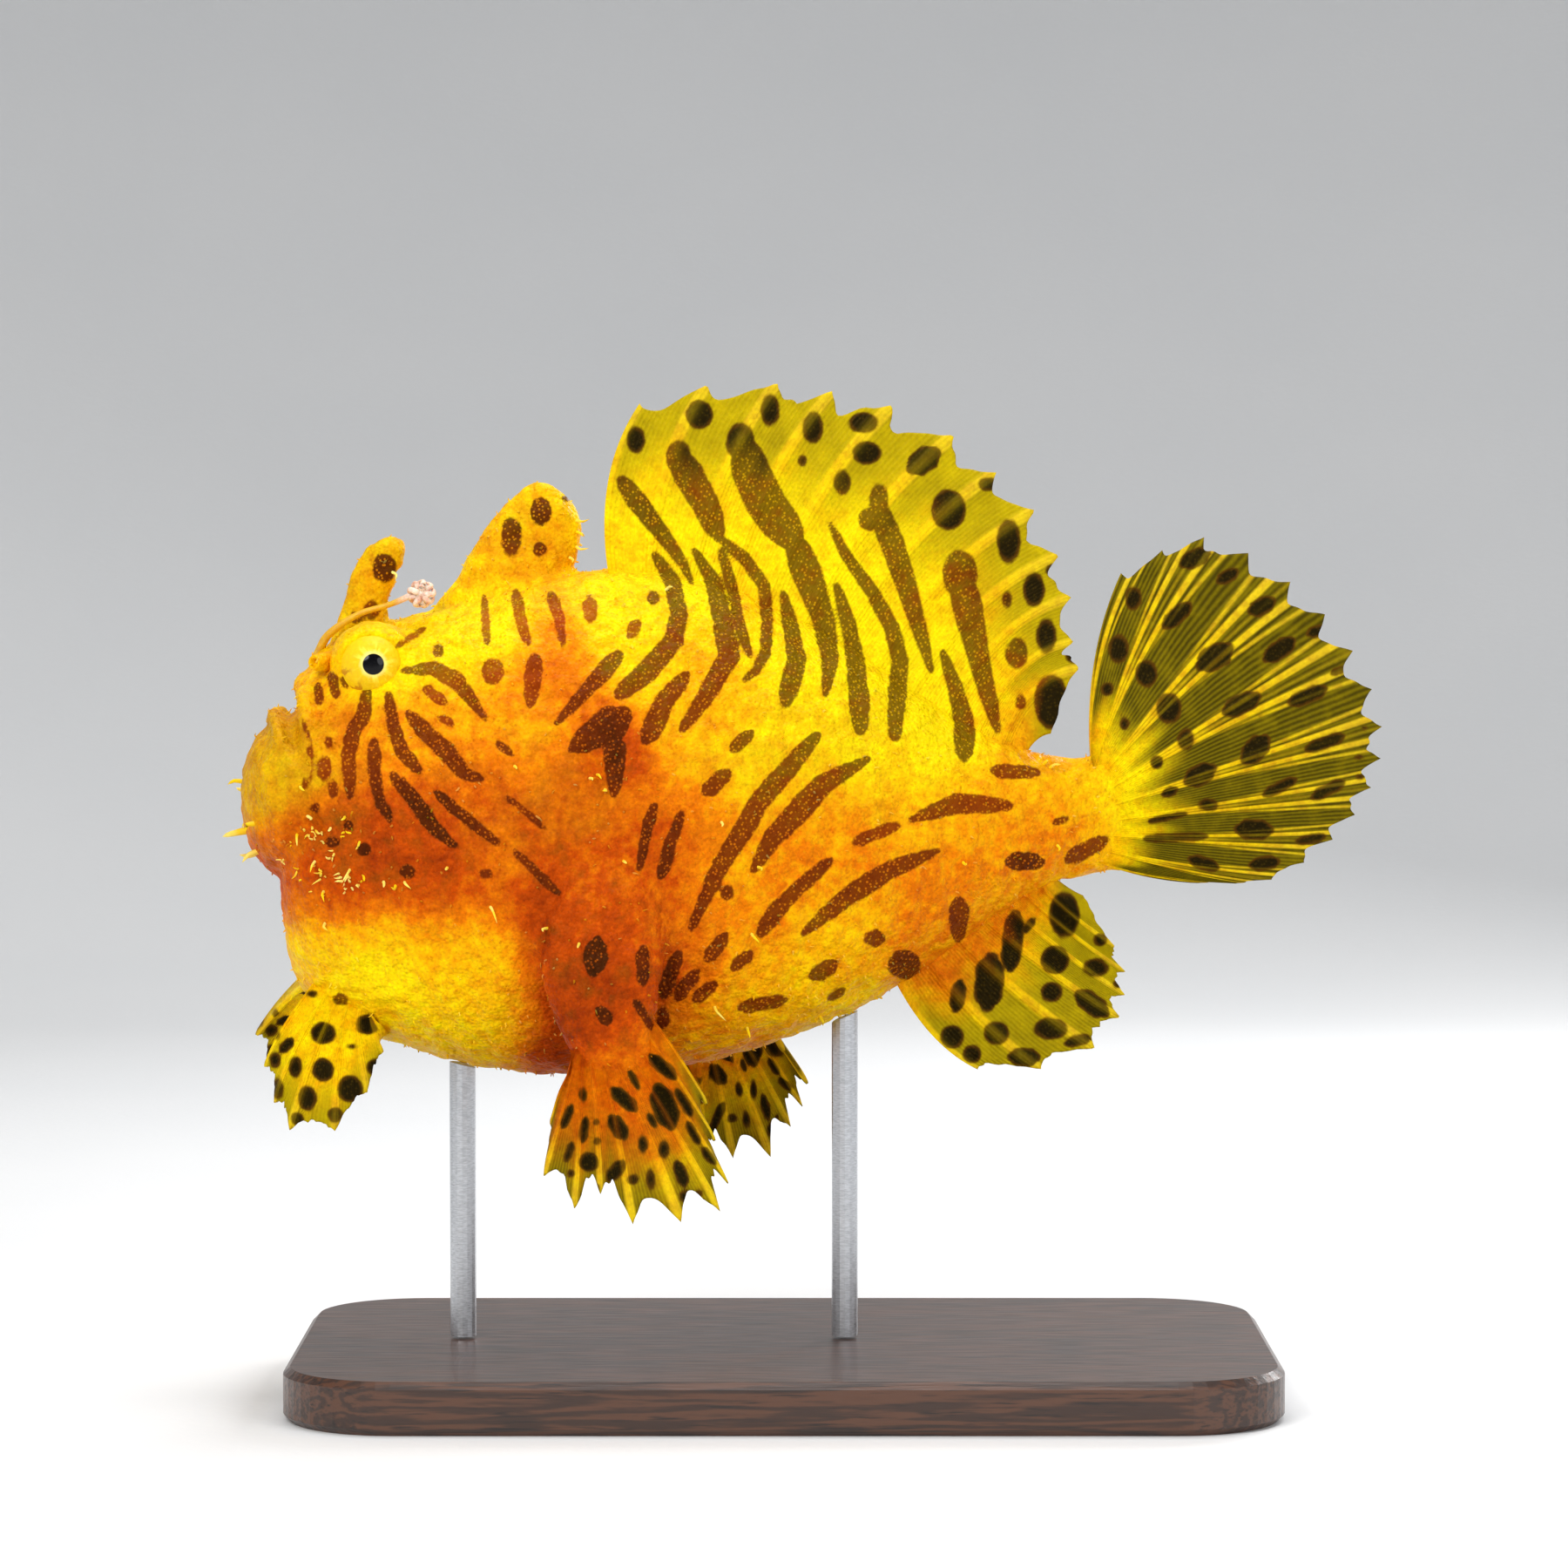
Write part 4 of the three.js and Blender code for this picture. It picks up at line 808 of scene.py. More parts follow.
PAWS = {
    "left": {
        "root": [(-53.0, -5.6, 47.6), (-49.6, -6.4, 45.4), (-45.6, -7.2, 44.6)],
        "tip": [(-58.8, -9.6, 38.4), (-57.6, -11.2, 34.5), (-55.8, -12.2, 31.5), (-50.7, -12.2, 31.4),
                (-47.1, -11.6, 35.7), (-45.4, -10.6, 40.2)],
        "bow": (-0.8, -2.2, 0.6),
    },
    "right": {
        "root": [(-54.0, 5.6, 48.2), (-50.8, 6.4, 46.0), (-47.0, 7.2, 44.8)],
        "tip": [(-61.6, 8.8, 40.2), (-60.6, 10.8, 36.8), (-58.6, 12.0, 34.2), (-53.8, 12.2, 33.6),
                (-50.2, 11.6, 37.2), (-47.8, 10.4, 41.0)],
        "bow": (-0.8, 2.2, 0.6),
    },
}


def paired_fin(rails, **sizes):
    root, tip = smooth_line(rails["root"]), smooth_line(rails["tip"])
    return fin_form(root, tip, middle_bend(root, tip, rails["bow"]), fall=0.5, **sizes)


def hand_fin(side):
    return paired_fin(HANDS[side], rays=10, sag=0.15, flesh=1.0, fade=2.2, seed=14,
                      web_from=(0.38, 1.1), ink_from=(-0.2, 0.1), dusk=0.85)


def paw_fin(side):
    return paired_fin(PAWS[side], rays=6, sag=0.11, web=0.5, flesh=2.5, fade=1.5, seed=15,
                      web_from=(0.45, 1.05), ink_from=(0.0, 0.22), dusk=0.35)


# Markings as attributes.


def mark_depth(spots, strokes=(), ellipses=()):
    """The deepest of all strokes and ellipses at each pixel, held between -1.5 and 1.5 mm."""
    depth = np.full(len(spots), -1.5)
    for line, widths in strokes:
        depth = np.maximum(depth, stroke_depth(spots, line, widths))
    for ellipse in ellipses:
        depth = np.maximum(depth, spot_depth(spots, ellipse))
    return np.clip(depth, -1.5, 1.5)


def near_places(spots, places):
    """For each row (x, y, radius, values...) its values and e^-(distance/radius)^2 at each pixel."""
    for x, y, radius, *values in places:
        yield np.exp(-((spots[:, 0] - x) ** 2 + (spots[:, 1] - y) ** 2) / radius**2), values


def tint(spots):
    """Warmth and olive at each pixel: the mean of the tints, weighted by how near they are."""
    weight = np.full(len(spots), 0.004)
    warm, olive = 0.2 * weight, 0.05 * weight
    for share, (warmth, green) in near_places(spots, TINTS):
        weight += share
        warm += share * warmth
        olive += share * green
    return warm / weight, olive / weight


def fade(spots):
    """How faint (above 0) or dark (below 0) marks are at each pixel: the fades' sum, held to -1 and 1."""
    return np.clip(sum(share * value for share, (value,) in near_places(spots, FADES)), -1, 1)


def flank_strokes():
    return [stroke for group in STRIPES_AND_MOUTH_SHADE.values() for stroke in group]


def flank_spots():
    return [spot for group in SPOTS.values() for spot in group]


def paint(piece, strokes=(), ellipses=(), marks=None, places=None):
    """Lays marks, warmth, olive and fade on a piece's vertices, as they are at those places or at the
    places given for them, and returns the marks."""
    spots = to_photo(mesh_points(piece.data) if places is None else places)
    if marks is None:
        marks = mark_depth(spots, strokes, ellipses)
    warm, olive = tint(spots)
    for layer, values in {"mark": marks, "warm": warm, "olive": olive, "fade": fade(spots)}.items():
        set_attribute(piece.data, layer, values)
    return marks


# Materials.


class Value:
    """A node's output, which takes sums and products with other outputs and with numbers."""

    def __init__(self, nodes, socket):
        self.nodes = nodes
        self.socket = socket

    def __add__(self, other):
        return self.nodes.math("ADD", self, other)

    def __sub__(self, other):
        return self.nodes.math("SUBTRACT", self, other)

    def __rsub__(self, other):
        return self.nodes.math("SUBTRACT", other, self)

    def __mul__(self, other):
        return self.nodes.math("MULTIPLY", self, other)

    def __truediv__(self, other):
        return self.nodes.math("DIVIDE", self, other)

    def scaled(self, factor, offset):
        return self.nodes.math("MULTIPLY_ADD", self, factor, offset)

    def sine(self):
        return self.nodes.math("SINE", self)

    def held(self):
        """The same value, held between 0 and 1."""
        self.socket.node.use_clamp = True
        return self

    def step(self, low, high):
        """Smoothly from 0 at low to 1 at high, whichever of them is larger."""
        node = self.nodes.add("MapRange", Value=self, From_Min=low, From_Max=high)
        node.interpolation_type = "SMOOTHSTEP"
        return Value(self.nodes, node.outputs["Result"])


class Nodes:
    """A material's node tree with short ways to add and link nodes. Colours are screen values of 0
    to 255, and sizes are in millimetres."""

    def __init__(self, name):
        self.material = bpy.data.materials.new(name)
        self.material.use_nodes = True
        self.tree = self.material.node_tree
        self.place = Value(self, self.add("TexCoord").outputs["Object"])

    def put(self, socket, value):
        if isinstance(value, Value):
            self.tree.links.new(value.socket, socket)
        else:
            socket.default_value = rgb(*value) if isinstance(value, tuple) else value

    def add(self, kind, **inputs):
        """A node with some inputs set, each by its name with _ for a space."""
        node = self.tree.nodes.new(f"ShaderNode{kind}")
        for name, value in inputs.items():
            self.put(node.inputs[name.replace("_", " ")], value)
        return node

    def math(self, operation, *values):
        node = self.add("Math")
        node.operation = operation
        for socket, value in zip(node.inputs, values):
            self.put(socket, value)
        return Value(self, node.outputs[0])

    def mix(self, share, a, b, kind="MIX"):
        node = self.add("Mix")
        node.data_type = "RGBA"
        node.blend_type = kind
        for socket, value in zip((node.inputs[0], node.inputs[6], node.inputs[7]), (share, a, b)):
            self.put(socket, value)
        return Value(self, node.outputs[2])

    def shade(self, colour, share, factor):
        """A colour with a share of itself times a factor."""
        return self.mix(share, colour, self.mix(1.0, colour, factor, "MULTIPLY"))

    def noise(self, size, detail, place=None):
        """Noise whose lumps are about size across."""
        node = self.add("TexNoise", Vector=place or self.place, Scale=1 / (size * MM), Detail=detail)
        return Value(self, node.outputs["Fac"])

    def cells(self, size):
        """Distance to the nearest of scattered points about size apart."""
        node = self.add("TexVoronoi", Vector=self.place, Scale=1 / (size * MM))
        return Value(self, node.outputs["Distance"])

    def stretched(self, *scale):
        """The place with its coordinates scaled."""
        return Value(self, self.add("Mapping", Vector=self.place, Scale=list(scale)).outputs[0])

    def millimetres(self, axis):
        return Value(self, self.add("SeparateXYZ", Vector=self.place).outputs[axis]) * (1 / MM)

    def attribute(self, name):
        node = self.add("Attribute")
        node.attribute_name = name
        return Value(self, node.outputs["Fac"])

    def ramp(self, value, *stops):
        node = self.add("ValToRGB", Fac=value)
        elements = node.color_ramp.elements
        while len(elements) < len(stops):
            elements.new(0.5)
        for element, (position, colour) in zip(elements, stops):
            element.position = position
            element.color = rgb(*colour)
        return Value(self, node.outputs[0])

    def bump(self, height, depth, under=None):
        node = self.add("Bump", Distance=depth * MM, Strength=1.0, Height=height)
        if under is not None:
            self.put(node.inputs["Normal"], under)
        return Value(self, node.outputs[0])

    def finish(self, colour, roughness, relief, **constants):
        """The material, with its colour, roughness, relief and the shader's constants."""
        shader = self.tree.nodes["Principled BSDF"]
        inputs = {"Base_Color": colour, "Roughness": roughness, "Normal": relief, **constants}
        for name, value in inputs.items():
            self.put(shader.inputs[name.replace("_", " ")], value)
        return self.material


def rgb(red, green, blue):
    """A linear colour from screen values of 0 to 255."""
    def linear(value):
        value /= 255
        return value / 12.92 if value <= 0.04045 else ((value + 0.055) / 1.055) ** 2.4

    return (linear(red), linear(green), linear(blue), 1.0)


SHINE = (255, 214, 120)  # the skin's highlights are tinted by its own yellow


def hide_colours(n):
    """Skin colour by warmth, mottled and freckled, and the stripes' own colour, also used for the painted shade
    along the closed
    mouth: redder where the skin is warmer, fainter or darker by place, and finely stippled with paler dots."""
    warm = n.attribute("warm") + n.noise(9, 3).scaled(0.6, -0.3) + n.noise(1.3, 3).scaled(0.56, -0.28)
    warm = warm.held()
    base = n.ramp(warm, (0.0, (250, 220, 1)), (0.25, (243, 178, 1)), (0.5, (226, 120, 1)),
                  (0.75, (188, 68, 1)), (1.0, (132, 36, 1)))
    olive = (n.attribute("olive") + n.noise(2.6, 3).scaled(0.9, -0.47)).held()
    base = n.mix((olive * 0.75).held(), base, (150, 120, 8))
    freckles = (1 - n.cells(0.62).step(0.16, 0.4)) * n.noise(3.4, 2).step(0.44, 0.62)
    base = n.shade(base, freckles * 0.4, (206, 168, 120))
    base = n.shade(base, 0.5, n.noise(0.33, 1).scaled(1.1, 0.45))
    stripe = n.ramp(warm, (0.0, (120, 90, 1)), (0.3, (124, 54, 1)), (0.6, (104, 32, 1)), (1.0, (48, 9, 1)))
    faint = n.ramp(warm, (0.0, (186, 108, 1)), (0.4, (168, 62, 1)), (1.0, (100, 26, 1)))
    fading = n.attribute("fade")
    stripe = n.mix((fading * 1).held(), stripe, faint)
    stripe = n.mix((fading * -1).held(), stripe, (40, 14, 1))
    dots = 1 - n.cells(0.42).step(0.18, 0.42)
    paler = n.ramp(warm, (0.0, (196, 150, 3)), (0.5, (196, 98, 8)), (1.0, (132, 50, 5)))
    return base, n.mix(dots * 0.8, stripe, paler)


def mark_share(n, softness=0.15, unevenness=0.6):
    """How much of a mark there is: its depth made uneven by noise, then a soft step."""
    wobble = n.noise(0.9, 3).scaled(unevenness, -0.5 * unevenness)
    return (n.attribute("mark") + wobble).step(-softness, softness)


def skin_material():
    """Soft, moist hide under its marks, with lumps, pebbles and a fine grain."""
    n = Nodes("fish_skin")
    base, stripe = hide_colours(n)
    relief = n.bump(n.noise(2.4, 3), 0.45)
    relief = n.bump(1 - n.cells(0.5), 0.16, relief)
    relief = n.bump(n.noise(0.26, 1), 0.07, relief)
    return n.finish(n.mix(mark_share(n), base, stripe), n.noise(1.6, 2).scaled(0.3, 0.36), relief,
                    Specular_IOR_Level=0.16, Specular_Tint=SHINE,
                    Subsurface_Weight=0.04, Subsurface_Scale=0.0006)


def fin_material():
    """Yellow rays over an olive web, duskier on some fins, joined to the skin's colour at the root.
    Marks are near-black far out and stippled brown near the body, and the rays show through a little."""
    n = Nodes("fish_fin")
    base, stripe = hide_colours(n)
    ray, ink = n.attribute("ray"), n.attribute("ink")
    streaks = n.attribute("turn").scaled(75.0, n.noise(3.0, 2) * 3.0).sine()
    patchy = n.noise(3.0, 3).scaled(0.9, -0.45)
    patches = (patchy + 0.5).held()
    bright = n.mix(patches, (210, 184, 3), (176, 150, 4))
    dim = n.mix(patches, (78, 66, 3), (44, 38, 3))
    web = n.mix((n.attribute("dusk") + patchy * 0.6).held(), bright, dim)
    web = n.mix(streaks.scaled(0.08, 0.09), web, (214, 190, 10))
    rays = n.mix(n.noise(1.2, 3).step(0.3, 0.75), (238, 202, 8), (206, 156, 12))
    rays = n.mix(n.attribute("out").step(0.6, 1.0) * 0.35, rays, (190, 172, 44))
    sheet = n.mix(ray.step(0.15, 0.65), web, rays)
    colour = n.mix(n.attribute("web"), base, sheet)
    dark = n.mix(n.cells(0.4).step(0.1, 0.5), (46, 34, 4), (15, 10, 2))
    inner = n.noise(0.8, 3).scaled(0.5, n.attribute("mark"))
    dark = n.mix(inner.step(0.25, 0.75), (82, 50, 4), dark)
    dark = n.mix(ink, stripe, dark)
    colour = n.mix(mark_share(n, 0.17, 0.36) * (ray * ink).scaled(-0.18, 1.0), colour, dark)
    colour = n.shade(colour, 0.4, n.noise(0.4, 1).scaled(0.8, 0.6))
    relief = n.bump(streaks * 0.5, 0.05)
    relief = n.bump(n.noise(1.0, 2), 0.14, relief)
    relief = n.bump(1 - n.cells(0.5), 0.06, relief)
    return n.finish(colour, n.noise(1.3, 2).scaled(0.3, 0.36), relief,
                    Specular_IOR_Level=0.16, Specular_Tint=SHINE,
                    Subsurface_Weight=0.03, Subsurface_Scale=0.0005)


def eye_material():
    """Black pupil in an iris as yellow as the skin, by the distance from the pupil's middle: pale
    streaks run outwards from it, by noise laid round a circle, and brown dashes stand round the lower
    rim. Only the pupil is glossy."""
    n = Nodes("fish_eye")
    x, z = n.millimetres("X") - PUPIL["x"], n.millimetres("Z") - PUPIL["z"]
    radius = n.math("SQRT", x * x + z * z)
    circle = 3.2 * MM
    spoke = n.add("CombineXYZ", X=x / radius * circle, Y=z / radius * circle, Z=radius * (0.16 * circle))
    streaks = n.noise(1.0, 4, Value(n, spoke.outputs[0])).step(0.47, 0.62) * radius.step(3.0, 1.7)
    iris = n.mix(n.noise(0.6, 4), (246, 214, 1), (236, 178, 1))
    iris = n.mix(streaks * 0.65, iris, (252, 238, 70))
    dashes = n.math("ARCTAN2", z, x).scaled(9.0, n.noise(0.9, 3) * 5.0).sine().step(0.3, 0.9)
    low = radius.step(2.3, 3.2) * z.step(0.6, -1.2)
    iris = n.mix(dashes * low * 0.7, iris, (176, 88, 6))
    edge = radius + n.noise(0.4, 3).scaled(0.5, -0.25)
    ring = 1 - edge.step(PUPIL["radius"], PUPIL["radius"] + 0.55)
    iris = n.mix(ring * 0.6, iris, (252, 244, 150))
    inside = radius.step(PUPIL["radius"] + 0.05, PUPIL["radius"] - 0.06)
    relief = n.bump(n.noise(0.4, 4) * radius.step(1.3, 2.2), 0.09)
    return n.finish(n.mix(inside, iris, (2, 2, 5)), inside.scaled(-0.4, 0.5), relief,
                    Specular_IOR_Level=0.22)


def lure_material():
    """Pinkish-white lobes on a stem as yellow as the skin."""
    n = Nodes("fish_lure")
    lobes = n.mix(n.noise(0.7, 3).step(0.35, 0.7), (240, 214, 190), (205, 130, 92))
    lobes = n.mix(n.cells(0.3).step(0.1, 0.4) * 0.25, lobes, (255, 240, 225))
    stem = n.mix(n.noise(0.8, 3), (238, 196, 20), (196, 132, 16))
    near_end = n.millimetres("X").step(ESCA["x"] - 3.4, ESCA["x"] - 1.6)
    return n.finish(n.mix(near_end, stem, lobes), n.noise(0.5, 2).scaled(0.3, 0.3),
                    n.bump(n.noise(0.3, 3), 0.05), Subsurface_Weight=0.2, Subsurface_Scale=0.0008)


def tuft_material():
    """Papillae in the skin's own colours and marks; the longer filaments are pale yellow."""
    n = Nodes("fish_tufts")
    base, stripe = hide_colours(n)
    pale = n.mix(n.noise(4, 3).step(0.4, 0.66), (250, 214, 14), (255, 242, 130))
    pale = n.mix(n.noise(0.4, 2) * 0.25, pale, (220, 160, 40))
    colour = n.mix(n.attribute("pale"), n.mix(mark_share(n), base, stripe), pale)
    return n.finish(colour, n.noise(0.5, 2).scaled(0.3, 0.35), n.bump(n.noise(0.2, 2), 0.02),
                    Specular_IOR_Level=0.2, Specular_Tint=SHINE)


def wood_material():
    """Dark stained hardwood: long rings of grain along X, pores and a satin varnish."""
    n = Nodes("stained_wood")
    lengthwise = n.stretched(0.06, 1.0, 1.0)
    bands = (n.noise(2.6, 5, lengthwise) * 42.0).sine()
    fibres = n.noise(0.35, 3, lengthwise)
    colour = n.mix(bands.step(-0.9, 0.9), (52, 30, 18), (84, 50, 30))
    colour = n.mix(fibres.step(0.52, 0.72), colour, (30, 17, 10))
    return n.finish(colour, fibres.scaled(0.25, 0.26), n.bump(fibres, 0.04), Coat_Weight=0.25,
                    Coat_Roughness=0.2)


def steel_material():
    """Satin steel with fine scratches round the rod."""
    n = Nodes("brushed_steel")
    scratches = n.noise(0.12, 3, n.stretched(0.2, 0.2, 1.0))
    colour = n.mix(scratches.step(0.3, 0.7), (176, 178, 182), (206, 208, 212))
    return n.finish(colour, scratches.scaled(0.25, 0.2), n.bump(scratches, 0.01), Metallic=1.0)


def paper_material():
    n = Nodes("studio_paper")
    colour = n.mix(n.noise(60, 1), (232, 233, 234), (238, 238, 238))
    return n.finish(colour, 0.8, n.bump(n.noise(1.5, 1), 0.05))


# Eyes, lure and tufts.


def eye_object(name, side):
    """Globe: radius R sin a at height R cos a out of the flank, sunk by 0.32, with the cornea standing
    out by 0.3 e^-(r/1.9)^4."""
    tilt = np.linspace(0.01, math.pi - 0.01, 64)
    size = EYE["radius"] - 0.02
    r = size * np.sin(tilt)
    cornea = np.where(tilt < math.pi / 2, 0.3 * np.exp(-((r / 1.9) ** 4)), 0)
    profile = np.stack([r, size * np.cos(tilt) - 0.32 + cornea], 1)
    return add_object(name, *lathe(profile, 72, (EYE["x"], side * EYE["y"], EYE["z"]), side))


def lure_object():
    """The rod with a knot of curled worm-like lobes on its end."""
    x, y, z, r = (ESCA[key] for key in ("x", "y", "z", "radius"))
    rod = [(-53.4, -0.8, 84.8), (-52.0, -2.4, 87.2), (-48.6, -3.2, 89.5), (-44.8, -4.0, 90.7),
           (x - 0.6, y - 0.1, z + 0.1)]
    parts = [tube(rod, [0.58, 0.46, 0.36, 0.32, 0.4], 14, 60)]
    parts.append(square_ball((x, y, z), (0.85 * r,) * 3, 2, 20, 28))
    for i, turn in enumerate(turns(9)):
        c, s = r * math.cos(turn), r * math.sin(turn)
        lift = 0.25 * r * (1 if i % 2 else -0.6)
        worm = [(x, y, z), (x + 0.5 * c, y - 0.6 * r + lift, z + 0.6 * s),
                (x + 1.02 * c, y - 0.3 * r + lift, z + 1.02 * s),
                (x + 0.92 * c - 0.5 * s, y + 0.4 * r, z + 0.92 * s + 0.5 * c)]
        parts.append(tube(worm, [0.34, 0.36, 0.3, 0.2], 12, 20, round_end=True))
    return add_object("lure_visual", *joined(parts))


# Y, z, length and radius of the thick tags on the chin.
CHIN_TAGS = [
    (-1.5, 70.4, 1.9, 0.32), (-2.5, 64.9, 3.0, 0.5), (1.5, 62.0, 2.2, 0.42), (-6.5, 62.6, 2.0, 0.4),
    (6.0, 65.5, 2.2, 0.4), (-9.5, 66.0, 1.6, 0.35), (9.5, 62.5, 1.7, 0.35), (4.0, 69.0, 1.6, 0.32),
]

# Pale skin filaments on the near flank: pixel, then length in millimetres.
FILAMENTS = [
    (342, 959, 1.0), (361, 988, 1.2), (401, 1001, 1.3), (440, 1012, 0.9), (452, 1017, 1.1), (465, 1013, 0.9),
    (372, 1022, 1.0), (372, 1060, 0.7), (562, 1042, 1.2), (629, 1066, 1.2), (665, 1082, 1.3), (512, 997, 0.8),
    (590, 882, 0.7), (676, 892, 0.7), (397, 940, 0.8), (718, 987, 0.8), (827, 943, 0.7), (870, 994, 0.9),
    (864, 1073, 1.0), (858, 1180, 0.9), (942, 1166, 0.8), (1078, 1101, 0.7), (1105, 990, 0.6), (1214, 971, 0.7),
    (820, 1155, 1.1), (765, 677, 0.8), (803, 634, 0.6), (716, 697, 0.9), (724, 741, 0.6), (1206, 881, 1.0),
    (1198, 876, 0.8), (688, 889, 0.8), (696, 905, 0.6), (345, 905, 0.7), (352, 938, 0.9), (378, 951, 0.7),
    (668, 598, 0.7), (670, 612, 0.8), (664, 628, 0.8), (655, 640, 0.6), (461, 662, 0.8),
]
CHIN = (375, 990, 55, 42)  # where short filaments crowd: pixel and half widths
CHIN_FILAMENTS = 120
PAPILLAE = 1800


def filament(root, away, length, radius, bend):
    """A tapered hair from just under the skin, curved towards bend."""
    middle = root + away * 0.55 * length
    tip = root + away * length + bend * 0.45 * length
    radii = [radius, radius, 0.75 * radius, 0.35 * radius]
    return tube([root - away * 0.35, root, middle, tip], radii, 6, 7, True)


def tuft_roots(skin):
    """The skin's points and the random draws, with each tuft's root, direction, length, radius and
    paleness: chin tags, the photograph's own filaments on both flanks, and filaments under the mouth
    and papillae strewn over the skin by a seeded choice of its vertices."""
    rng = np.random.default_rng(SEED)
    points, normals = mesh_points(skin.data), mesh_points(skin.data, "normals")
    spots = to_photo(points)
    picked = []
    for y, z, length, radius in CHIN_TAGS:
        near = np.argmin(((points[:, 1:] - [y, z]) ** 2).sum(1) + 1000 * (points[:, 0] > -56))
        away = np.array([-1, y / 13 * 0.7, (z - 68.6) * 0.06])
        picked.append((near, unit(away), length - 0.1, radius, 0.9))
    for px, py, length in FILAMENTS:
        for side in (-1, 1):
            near = np.argmin(((spots - [px, py]) ** 2).sum(1) + 1e6 * (points[:, 1] * side < 1.0))
            picked.append((near, unit(normals[near] + [0.25, 0, -0.35]), 1.5 * length, 0.19, 1.0))

    def strew(places, count, scatter, droop, lengths, radii, pale):
        for near in rng.choice(np.flatnonzero(places), count, replace=False):
            away = unit(normals[near] + rng.normal(0, scatter, 3) + droop)
            picked.append((near, away, rng.uniform(*lengths), rng.uniform(*radii), pale))

    clear = np.hypot(points[:, 0] - EYE["x"], points[:, 2] - EYE["z"]) > 5
    clear &= points[:, 0] > -60.5
    crowd = np.hypot((spots[:, 0] - CHIN[0]) / CHIN[2], (spots[:, 1] - CHIN[1]) / CHIN[3]) < 1
    crowd &= ripple(points, 2.2, 8) > 0.15
    strew(crowd & clear, CHIN_FILAMENTS, 0.6, 0, (0.3, 0.85), (0.09, 0.17), 0.9)
    strew(clear, PAPILLAE, 0.35, [0.3, 0, -0.1], (0.22, 0.5), (0.08, 0.14), 0.2)
    return points, picked, rng


def tuft_object(skin):
    """All tufts in one piece. In its map OFBake each one is a patch 0.003 wide at its root's place
    on an unwrap of the body: u along it by x, v round it by the angle about its middle line."""
    points, picked, rng = tuft_roots(skin)
    parts, patches, roots, pales = [], [], [], []
    for near, away, length, radius, pale in picked:
        root = points[near]
        hair = filament(root, away, length, radius, rng.normal(0, 0.6, 3))
        around = math.atan2(root[2] - 66, -root[1]) / (2 * math.pi) % 1
        local = hair[0] - root
        patch = local[:, [0, 2]] / (np.abs(local).max() + 1e-6) * 0.0015
        parts.append(hair)
        patches.append([(root[0] + 62) / 110, 0.01 + 0.97 * around] + patch)
        roots.append(np.tile(root, (len(local), 1)))
        pales.append(np.full(len(local), pale))
    piece = add_object("skin_tufts", *joined(parts))
    paint(piece, flank_strokes(), flank_spots(), places=np.vstack(roots))
    set_attribute(piece.data, "pale", np.concatenate(pales))
    lay_map(piece.data, "OFBake", np.vstack(patches))
    return piece


def lay_map(mesh, name, places):
    """A UV map from one place for each vertex."""
    corners = np.zeros(len(mesh.loops), np.int32)
    mesh.loops.foreach_get("vertex_index", corners)
    layer = mesh.uv_layers.new(name=name)
    layer.data.foreach_set("uv", places[corners].ravel().astype(np.float32))


# Stage: floor, lights and camera.

FLOOR = {"flat": 450, "radius": 1300, "rise": 700}

# Name, place, aim, size, power and colour of each lamp.
LAMPS = [
    ("key", (-260, -420, 420), (-5, 0, 70), 300, 2.15, (1, 0.98, 0.95)),
    ("fill", (460, -480, 320), (0, 0, 70), 420, 1.3, (0.96, 0.98, 1)),
    ("top", (30, 60, 520), (0, 0, 80), 360, 1.45, (1, 1, 1)),
    ("rim", (260, 360, 260), (0, 0, 85), 220, 1.2, (1, 1, 1)),
]


def floor_object():
    """A pale round floor that curves up into a wall all round: z = max(0, r - flat)^2 / rise."""
    r = np.linspace(1, FLOOR["radius"], 60)[:, None]
    turn = turns(96)[None, :]
    height = np.maximum(r - FLOOR["flat"], 0) ** 2 / FLOOR["rise"]
    points = np.stack([r * np.cos(turn), r * np.sin(turn), height + 0 * turn], -1)
    index = np.arange(points.shape[0] * points.shape[1]).reshape(points.shape[:2])
    beside = np.roll(index, -1, axis=1)
    quads = np.stack([index[:-1], index[1:], beside[1:], beside[:-1]], -1).reshape(-1, 4)
    floor = add_object("studio_floor", points.reshape(-1, 3), quads.tolist())
    floor.data.materials.append(paper_material())


def area_light(name, place, aim, size, power, colour):
    data = bpy.data.lights.new(name, "AREA")
    data.shape = "DISK"
    data.size = size * MM
    data.energy = power
    data.color = colour
    light = bpy.data.objects.new(name, data)
    light.location = Vector(place) * MM
    light.rotation_euler = (Vector(aim) - Vector(place)).to_track_quat("-Z", "Y").to_euler()
    bpy.context.scene.collection.objects.link(light)


def set_lights():
    for lamp in LAMPS:
        area_light(*lamp)
    world = bpy.data.worlds.new("studio")
    world.use_nodes = True
    sky = world.node_tree.nodes["Background"].inputs
    sky["Color"].default_value = (0.9, 0.92, 0.95, 1)
    sky["Strength"].default_value = 0.33
    bpy.context.scene.world = world
    bpy.context.scene.view_settings.view_transform = "Standard"


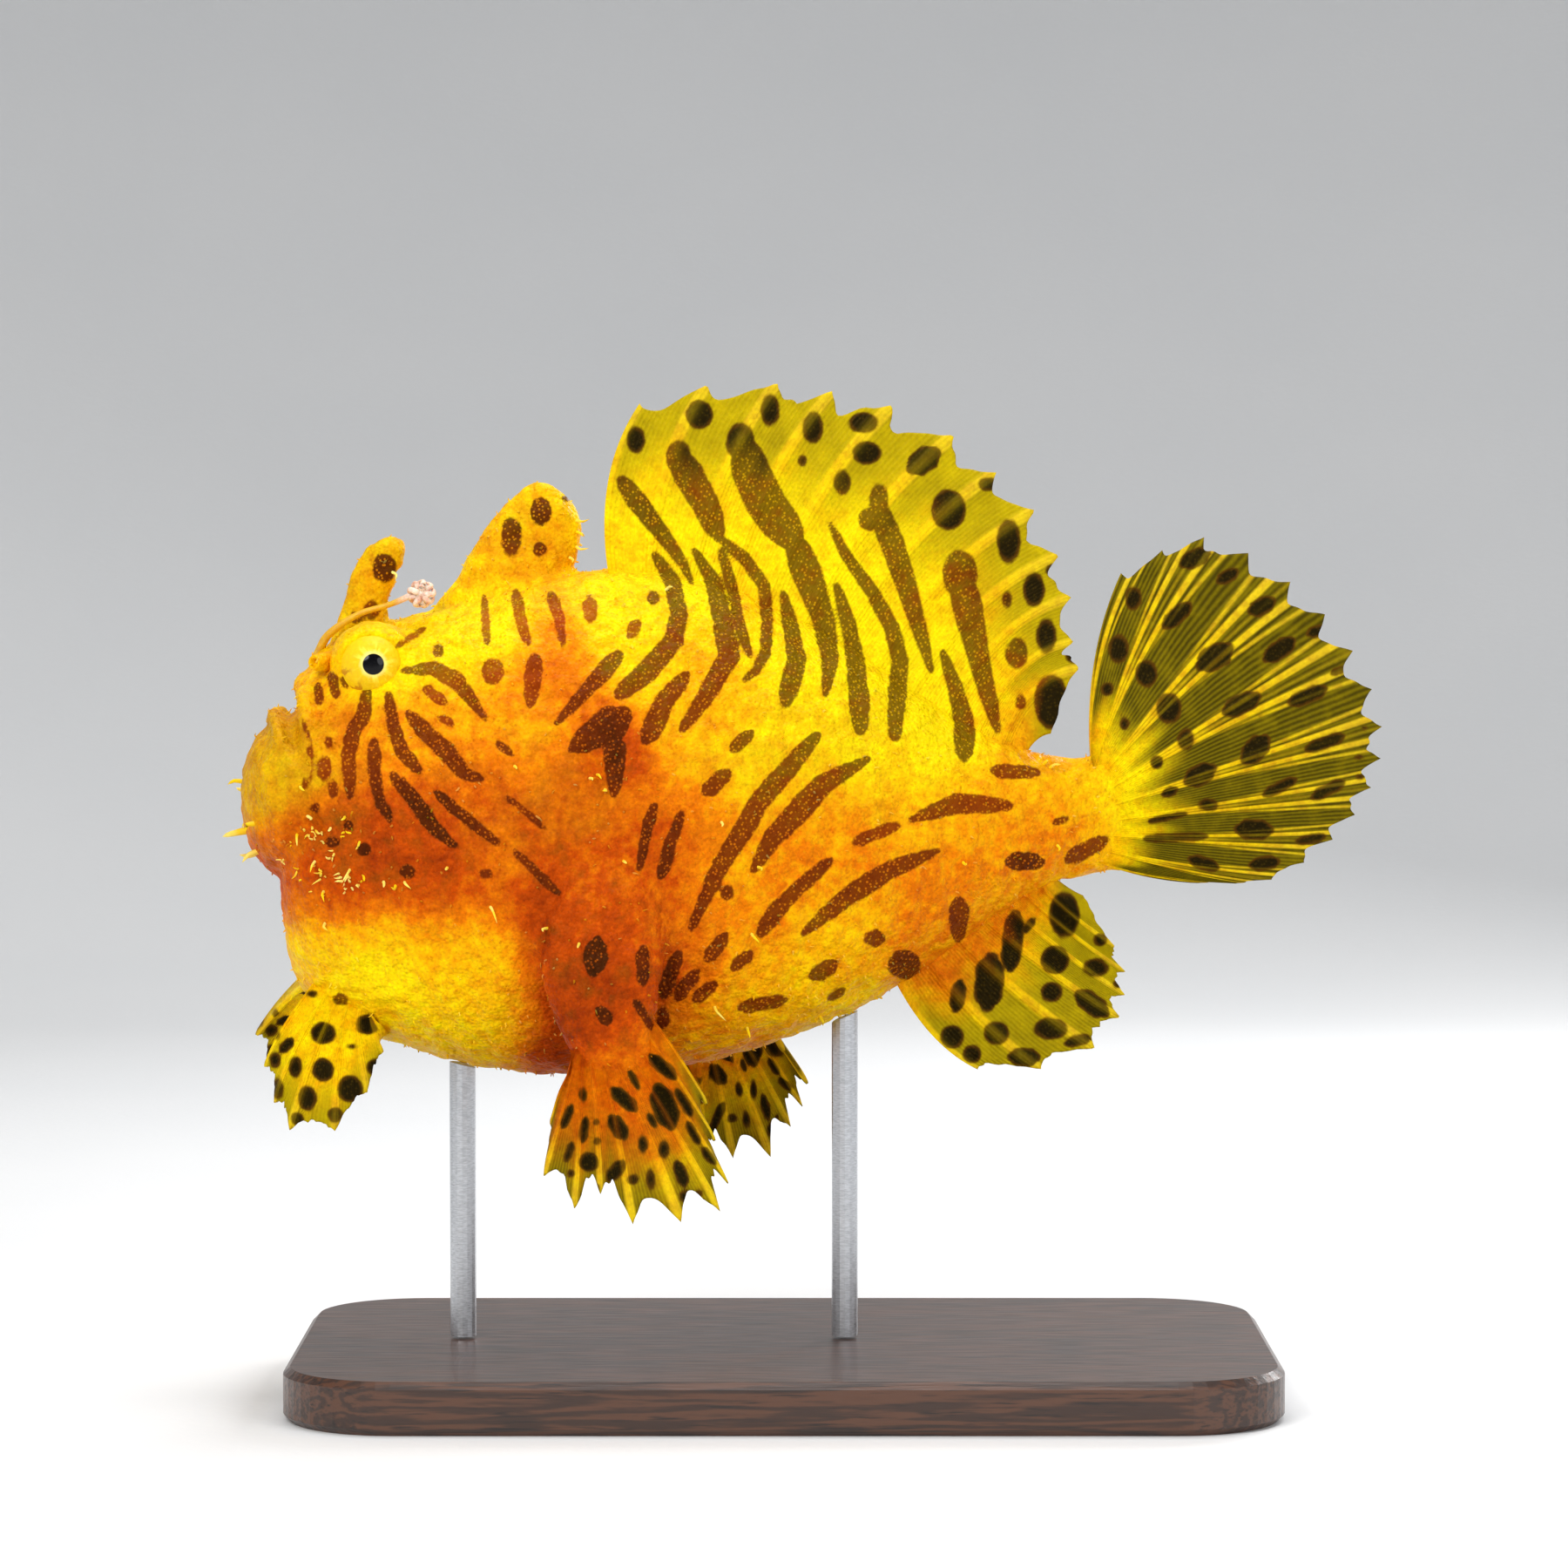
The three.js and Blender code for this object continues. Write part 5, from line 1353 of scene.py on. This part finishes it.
def set_camera():
    data = bpy.data.cameras.new("photo_camera")
    data.lens = LENS
    data.sensor_width = SENSOR
    data.clip_start = 0.01
    data.clip_end = 10
    camera = bpy.data.objects.new("photo_camera", data)
    camera.location = Vector(CAMERA) * MM
    camera.rotation_euler = Vector(TARGET - CAMERA).to_track_quat("-Z", "Y").to_euler()
    bpy.context.scene.collection.objects.link(camera)
    bpy.context.scene.camera = camera


# The fish.


def show(piece, slot, material, *nodes):
    """Gives a piece its finish, hangs it under the root body and hides the solids it stands for. Its slot is
    not used.
    """
    piece.data.materials.append(material)
    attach(piece, "root")
    if nodes:
        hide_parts(*nodes)


def build_skin(material):
    fused, quads = skin_object()
    press_folds(fused)
    body = (mesh_points(fused), quads.tolist())
    bpy.data.meshes.remove(fused)
    skin = add_object("fish_skin", *joined([body, nostril(-1), nostril(1)]))
    paint(skin, flank_strokes(), flank_spots() + HAND_SPOTS + PAW_SPOTS)
    show(skin, "skin", material, "head", "lower_jaw", "torso", "tail_stalk", "dorsal_spine_second",
         "dorsal_spine_third", "pectoral_arm_left", "pectoral_arm_right")
    return skin


def build_fins(material):
    """The fins in the middle, then the paired ones, whose right sides take their left sides' marks."""
    middle = {"dorsal_fin": (dorsal_fin, DORSAL_SPOTS), "tail_fin": (tail_fin, TAIL_SPOTS),
              "anal_fin": (anal_fin, ANAL_SPOTS)}
    for name, (make, spots) in middle.items():
        piece = fin_object(f"{name}_visual", make())
        paint(piece, flank_strokes(), spots + flank_spots())
        show(piece, "fin_web", material, name)
    paired = {"pectoral_fin": (hand_fin, HAND_SPOTS), "pelvic_fin": (paw_fin, PAW_SPOTS)}
    for name, (make, spots) in paired.items():
        marks = None
        for side in ("left", "right"):
            piece = fin_object(f"{name}_{side}_visual", make(side))
            marks = paint(piece, ellipses=spots, marks=marks)
            show(piece, "fin_web", material, f"{name}_{side}")


def dress_stand():
    wood, steel = wood_material(), steel_material()
    for node, material in {"stand_base": wood, "stand_rod_front": steel, "stand_rod_back": steel}.items():
        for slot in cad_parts[node].material_slots:
            slot.material = material


def main():
    skin = build_skin(skin_material())
    build_fins(fin_material())
    glass = eye_material()
    for side, name in ((-1, "eye_left"), (1, "eye_right")):
        show(eye_object(f"{name}_visual", side), "eye", glass, name)
    show(lure_object(), "lure", lure_material(), "lure")
    show(tuft_object(skin), "skin", tuft_material())
    dress_stand()
    floor_object()
    set_lights()
    set_camera()


main()
